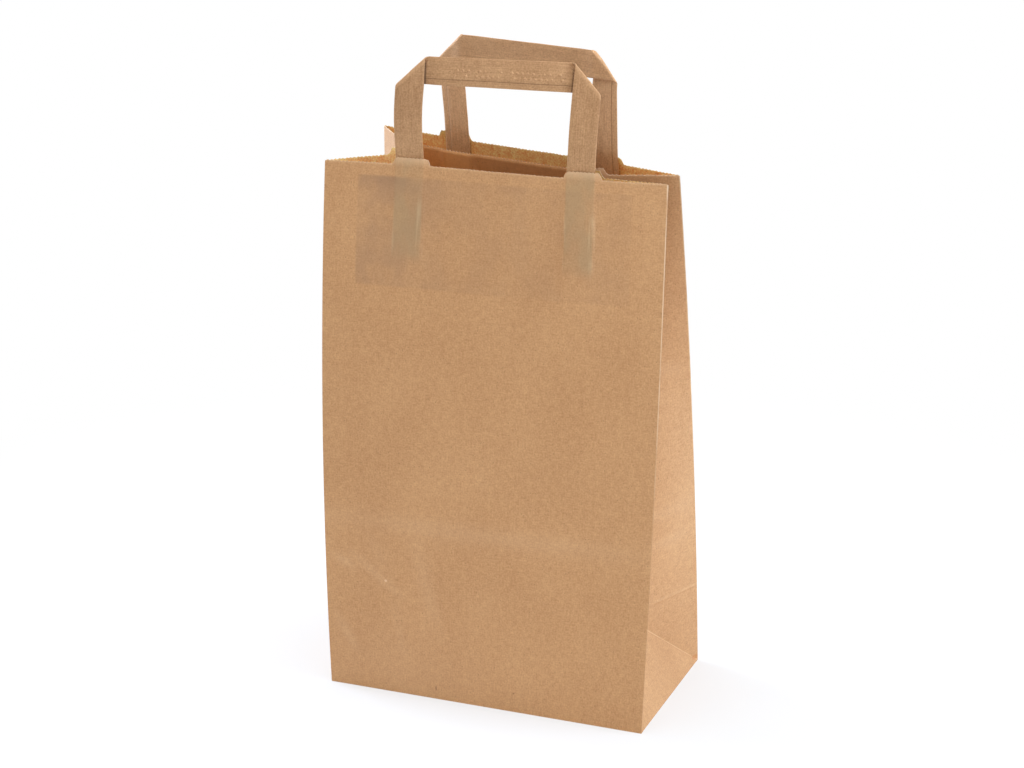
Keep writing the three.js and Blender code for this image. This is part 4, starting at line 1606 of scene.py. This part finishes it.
@dataclass
class Patch:
    """A paper patch, glued inside a panel over the legs of its handle."""

    shape: BagShape
    wall: Wall
    name: str
    node: str
    margin: float = 1.5 * MM
    ramp: float = 4 * MM
    inner_rows: int = 27

    def lift(self, across: Array, drop: Array) -> Array:
        """How far the patch stands off the panel's middle surface.

        Args:
            across: Distances from the panel's middle.
            drop: Distances below the rim line.

        Returns:
            The distances, negative towards the inside of the bag.
        """
        shape = self.shape
        flat = -shape.paper - shape.gap
        raised = -1.5 * shape.paper - 2 * shape.gap - shape.tape_thickness + shape.paper / 2
        edge = shape.tape_width / 2 + self.margin
        middle = self.wall.leg_middle(across, shape.leg_spacing)
        away = np.abs(across - middle) - edge
        beside = 1 - smooth(away, 0.0, self.ramp)
        below = 1 - smooth(drop - shape.leg_tuck - self.margin, 0.0, self.ramp)
        return flat + (raised - flat) * np.minimum(beside, below)

    def over_legs(self, across: Array, drop: Array) -> Array:
        """How pale the patch is where it rises over the legs."""
        half, tuck = self.shape.tape_width / 2, self.shape.leg_tuck
        away = np.abs(across - self.wall.leg_middle(across, self.shape.leg_spacing))
        beside = 1 - smooth(away, half - 1 * MM, half + 1 * MM)
        return 0.5 * beside * (1 - smooth(drop, tuck, tuck + self.ramp))

    def build(self) -> bpy.types.Object:
        """Returns the finished patch."""
        builder = MeshBuilder()
        top, bottom = self.shape.patch_top, self.shape.patch_bottom
        count = 2 * round(self.shape.patch_width / self.shape.tooth_pitch)
        share = np.arange(count + 1) / count
        drop = np.where(np.arange(count + 1) % 2 == 1, 0.0, self.shape.tooth_depth)
        across = (share - 0.5) * self.shape.patch_width
        between = np.linspace(bottom - 3 * MM, top + 3 * MM, self.inner_rows)
        rows = [bottom - drop, *(np.full_like(across, d) for d in between), top + drop]
        order = slice(None) if self.wall.side is Side.FRONT else slice(None, None, -1)
        last = None
        for depth in rows:
            points = self.shape.layer(self.wall, across, -depth, self.lift(across, depth))
            flat = np.stack([across + 0.4, 0.3 - depth], axis=1)
            numbers = builder.row(points, flat, self.over_legs(across, depth))[order]
            if last is not None:
                builder.join(last, numbers)
            last = numbers
        patch = builder.build(self.name)
        patch.data.materials.append(KRAFT_PATCH.material())
        patch.data.materials.append(KRAFT_CUT.material())
        add_shell(patch, self.shape.paper, (0, 1))
        return finish_piece(patch, (self.node,))


@dataclass(frozen=True)
class Lamp:
    """A soft box: where it stands, how large it is and how strong."""

    name: str
    place: tuple[float, float, float]
    size: tuple[float, float]
    power: float
    tint: tuple[float, float, float] = (1.0, 1.0, 1.0)

    def build(self, aim: Vector) -> None:
        """Adds the lamp.

        Args:
            aim: The point that it faces.
        """
        data = bpy.data.lights.new(self.name, "AREA")
        data.shape = "RECTANGLE"
        data.size, data.size_y = self.size
        data.energy = self.power
        data.color = self.tint
        lamp = add_object(self.name, data)
        lamp.location = self.place
        lamp.rotation_euler = (aim - lamp.location).to_track_quat("-Z", "Y").to_euler()


@dataclass
class Studio:
    """The pale floor, the soft lamps and the camera."""

    azimuth: float = math.radians(21.0228)
    elevation: float = math.radians(20.1693)
    focal_pixels: float = 3042.743
    image_width: int = 1024
    eye: tuple[float, float, float] = (0.670414, -1.752313, 0.896624)
    floor_half: float = 6.0
    glow_range: tuple[float, ...] = (0.15, 0.6, 0.5, 1.0)
    ambient: float = 0.5
    lamps: tuple[Lamp, ...] = (
        Lamp("key_right", (1.7, 0.2, 0.8), (1.2, 1.2), 22.0, (0.95, 1.11, 1.36)),
        Lamp("front_fill", (0.25, -2.2, 0.34), (1.6, 0.8), 6.5, (1.02, 0.89, 0.77)),
        Lamp("left", (-1.7, 0.25, 0.7), (1.0, 1.0), 26.0, (0.92, 1.1, 1.4)),
        Lamp("top", (0.0, 0.0, 2.2), (1.4, 1.4), 25.0),
    )

    def floor(self) -> None:
        """Adds the floor, which the camera sees as near white, with the object's soft shadow."""
        mesh = bpy.data.meshes.new("floor")
        shell = bmesh.new()
        half = self.floor_half
        corners = [(-half, -half), (half, -half), (half, half), (-half, half)]
        shell.faces.new([shell.verts.new((x, y, 0.0)) for x, y in corners])
        shell.to_mesh(mesh)
        shell.free()
        floor = add_object("floor", mesh)
        material = bpy.data.materials.new("pale_floor")
        material.use_nodes = True
        tree = material.node_tree
        shader = tree.nodes["Principled BSDF"]
        shader.inputs["Base Color"].default_value = (0.86, 0.86, 0.86, 1.0)
        shader.inputs["Roughness"].default_value = 0.9
        glow = tree.nodes.new("ShaderNodeEmission")
        glow.inputs["Strength"].default_value = 1.0
        mix = tree.nodes.new("ShaderNodeMixShader")
        rays = tree.nodes.new("ShaderNodeLightPath")
        place = tree.nodes.new("ShaderNodeTexCoord")
        away = tree.nodes.new("ShaderNodeVectorMath")
        away.operation = "LENGTH"
        far = tree.nodes.new("ShaderNodeMapRange")
        far.interpolation_type = "SMOOTHSTEP"
        for name, number in zip(RANGE_INPUTS, self.glow_range):
            far.inputs[name].default_value = number
        tree.links.new(place.outputs["Object"], away.inputs[0])
        tree.links.new(away.outputs["Value"], far.inputs["Value"])
        share = tree.nodes.new("ShaderNodeMath")
        share.operation = "MULTIPLY"
        tree.links.new(far.outputs["Result"], share.inputs[1])
        tree.links.new(rays.outputs["Is Camera Ray"], share.inputs[0])
        tree.links.new(share.outputs[0], mix.inputs[0])
        tree.links.new(shader.outputs[0], mix.inputs[1])
        tree.links.new(glow.outputs[0], mix.inputs[2])
        tree.links.new(mix.outputs[0], tree.nodes["Material Output"].inputs["Surface"])
        mesh.materials.append(material)

    def world(self) -> None:
        """Sets a soft white surround, which the camera sees as white."""
        world = bpy.data.worlds.new("surround")
        bpy.context.scene.world = world
        world.use_nodes = True
        tree = world.node_tree
        tree.nodes.clear()
        output = tree.nodes.new("ShaderNodeOutputWorld")
        back = tree.nodes.new("ShaderNodeBackground")
        rays = tree.nodes.new("ShaderNodeLightPath")
        level = tree.nodes.new("ShaderNodeMapRange")
        level.inputs["To Min"].default_value = self.ambient
        level.inputs["To Max"].default_value = 1.0
        tree.links.new(rays.outputs["Is Camera Ray"], level.inputs["Value"])
        tree.links.new(level.outputs["Result"], back.inputs["Strength"])
        tree.links.new(back.outputs[0], output.inputs["Surface"])

    def camera(self) -> None:
        """Adds the camera at the picture's place and angle."""
        data = bpy.data.cameras.new("camera")
        data.sensor_width = 36.0
        data.lens = self.focal_pixels / self.image_width * data.sensor_width
        data.clip_start = 0.1
        camera = add_object("camera", data)
        flat = math.cos(self.elevation)
        x, y = math.sin(self.azimuth) * flat, -math.cos(self.azimuth) * flat
        back = Vector((x, y, math.sin(self.elevation)))
        right = Vector((0.0, 0.0, 1.0)).cross(back).normalized()
        up = back.cross(right)
        turn = Matrix((right, up, back)).transposed().to_4x4()
        camera.matrix_world = Matrix.Translation(self.eye) @ turn
        bpy.context.scene.camera = camera

    def build(self) -> None:
        """Builds the whole studio."""
        self.camera()
        self.floor()
        self.world()
        for lamp in self.lamps:
            lamp.build(Vector((0.0, 0.0, 0.2)))
        bpy.context.scene.view_settings.view_transform = "Standard"


def main() -> None:
    """Builds the studio and the bag, piece by piece, and notes the bag's size."""
    logging.basicConfig(level=logging.INFO, format="%(name)s: %(message)s")
    shape = BagShape()
    Studio().build()
    BagSheet(shape).build()
    front_tape = TapeHandle(shape, shape.front, "front_tape", "front_handle", seed=1.0)
    front_tape.build()
    PressMarks(front_tape.press_sites()).build()
    rear = (shape, shape.rear, "rear_tape", "rear_handle")
    # The rear tape takes the paler copy of the paper, which is painted light.
    TapeHandle(*rear, seed=5.0, finish=KRAFT_TAPE_REAR_PAINTED_LIGHT).build()
    Patch(shape, shape.front, "front_patch", "front_handle_patch").build()
    Patch(shape, shape.rear, "rear_patch", "rear_handle_patch").build()


if __name__ == "__main__":
    main()
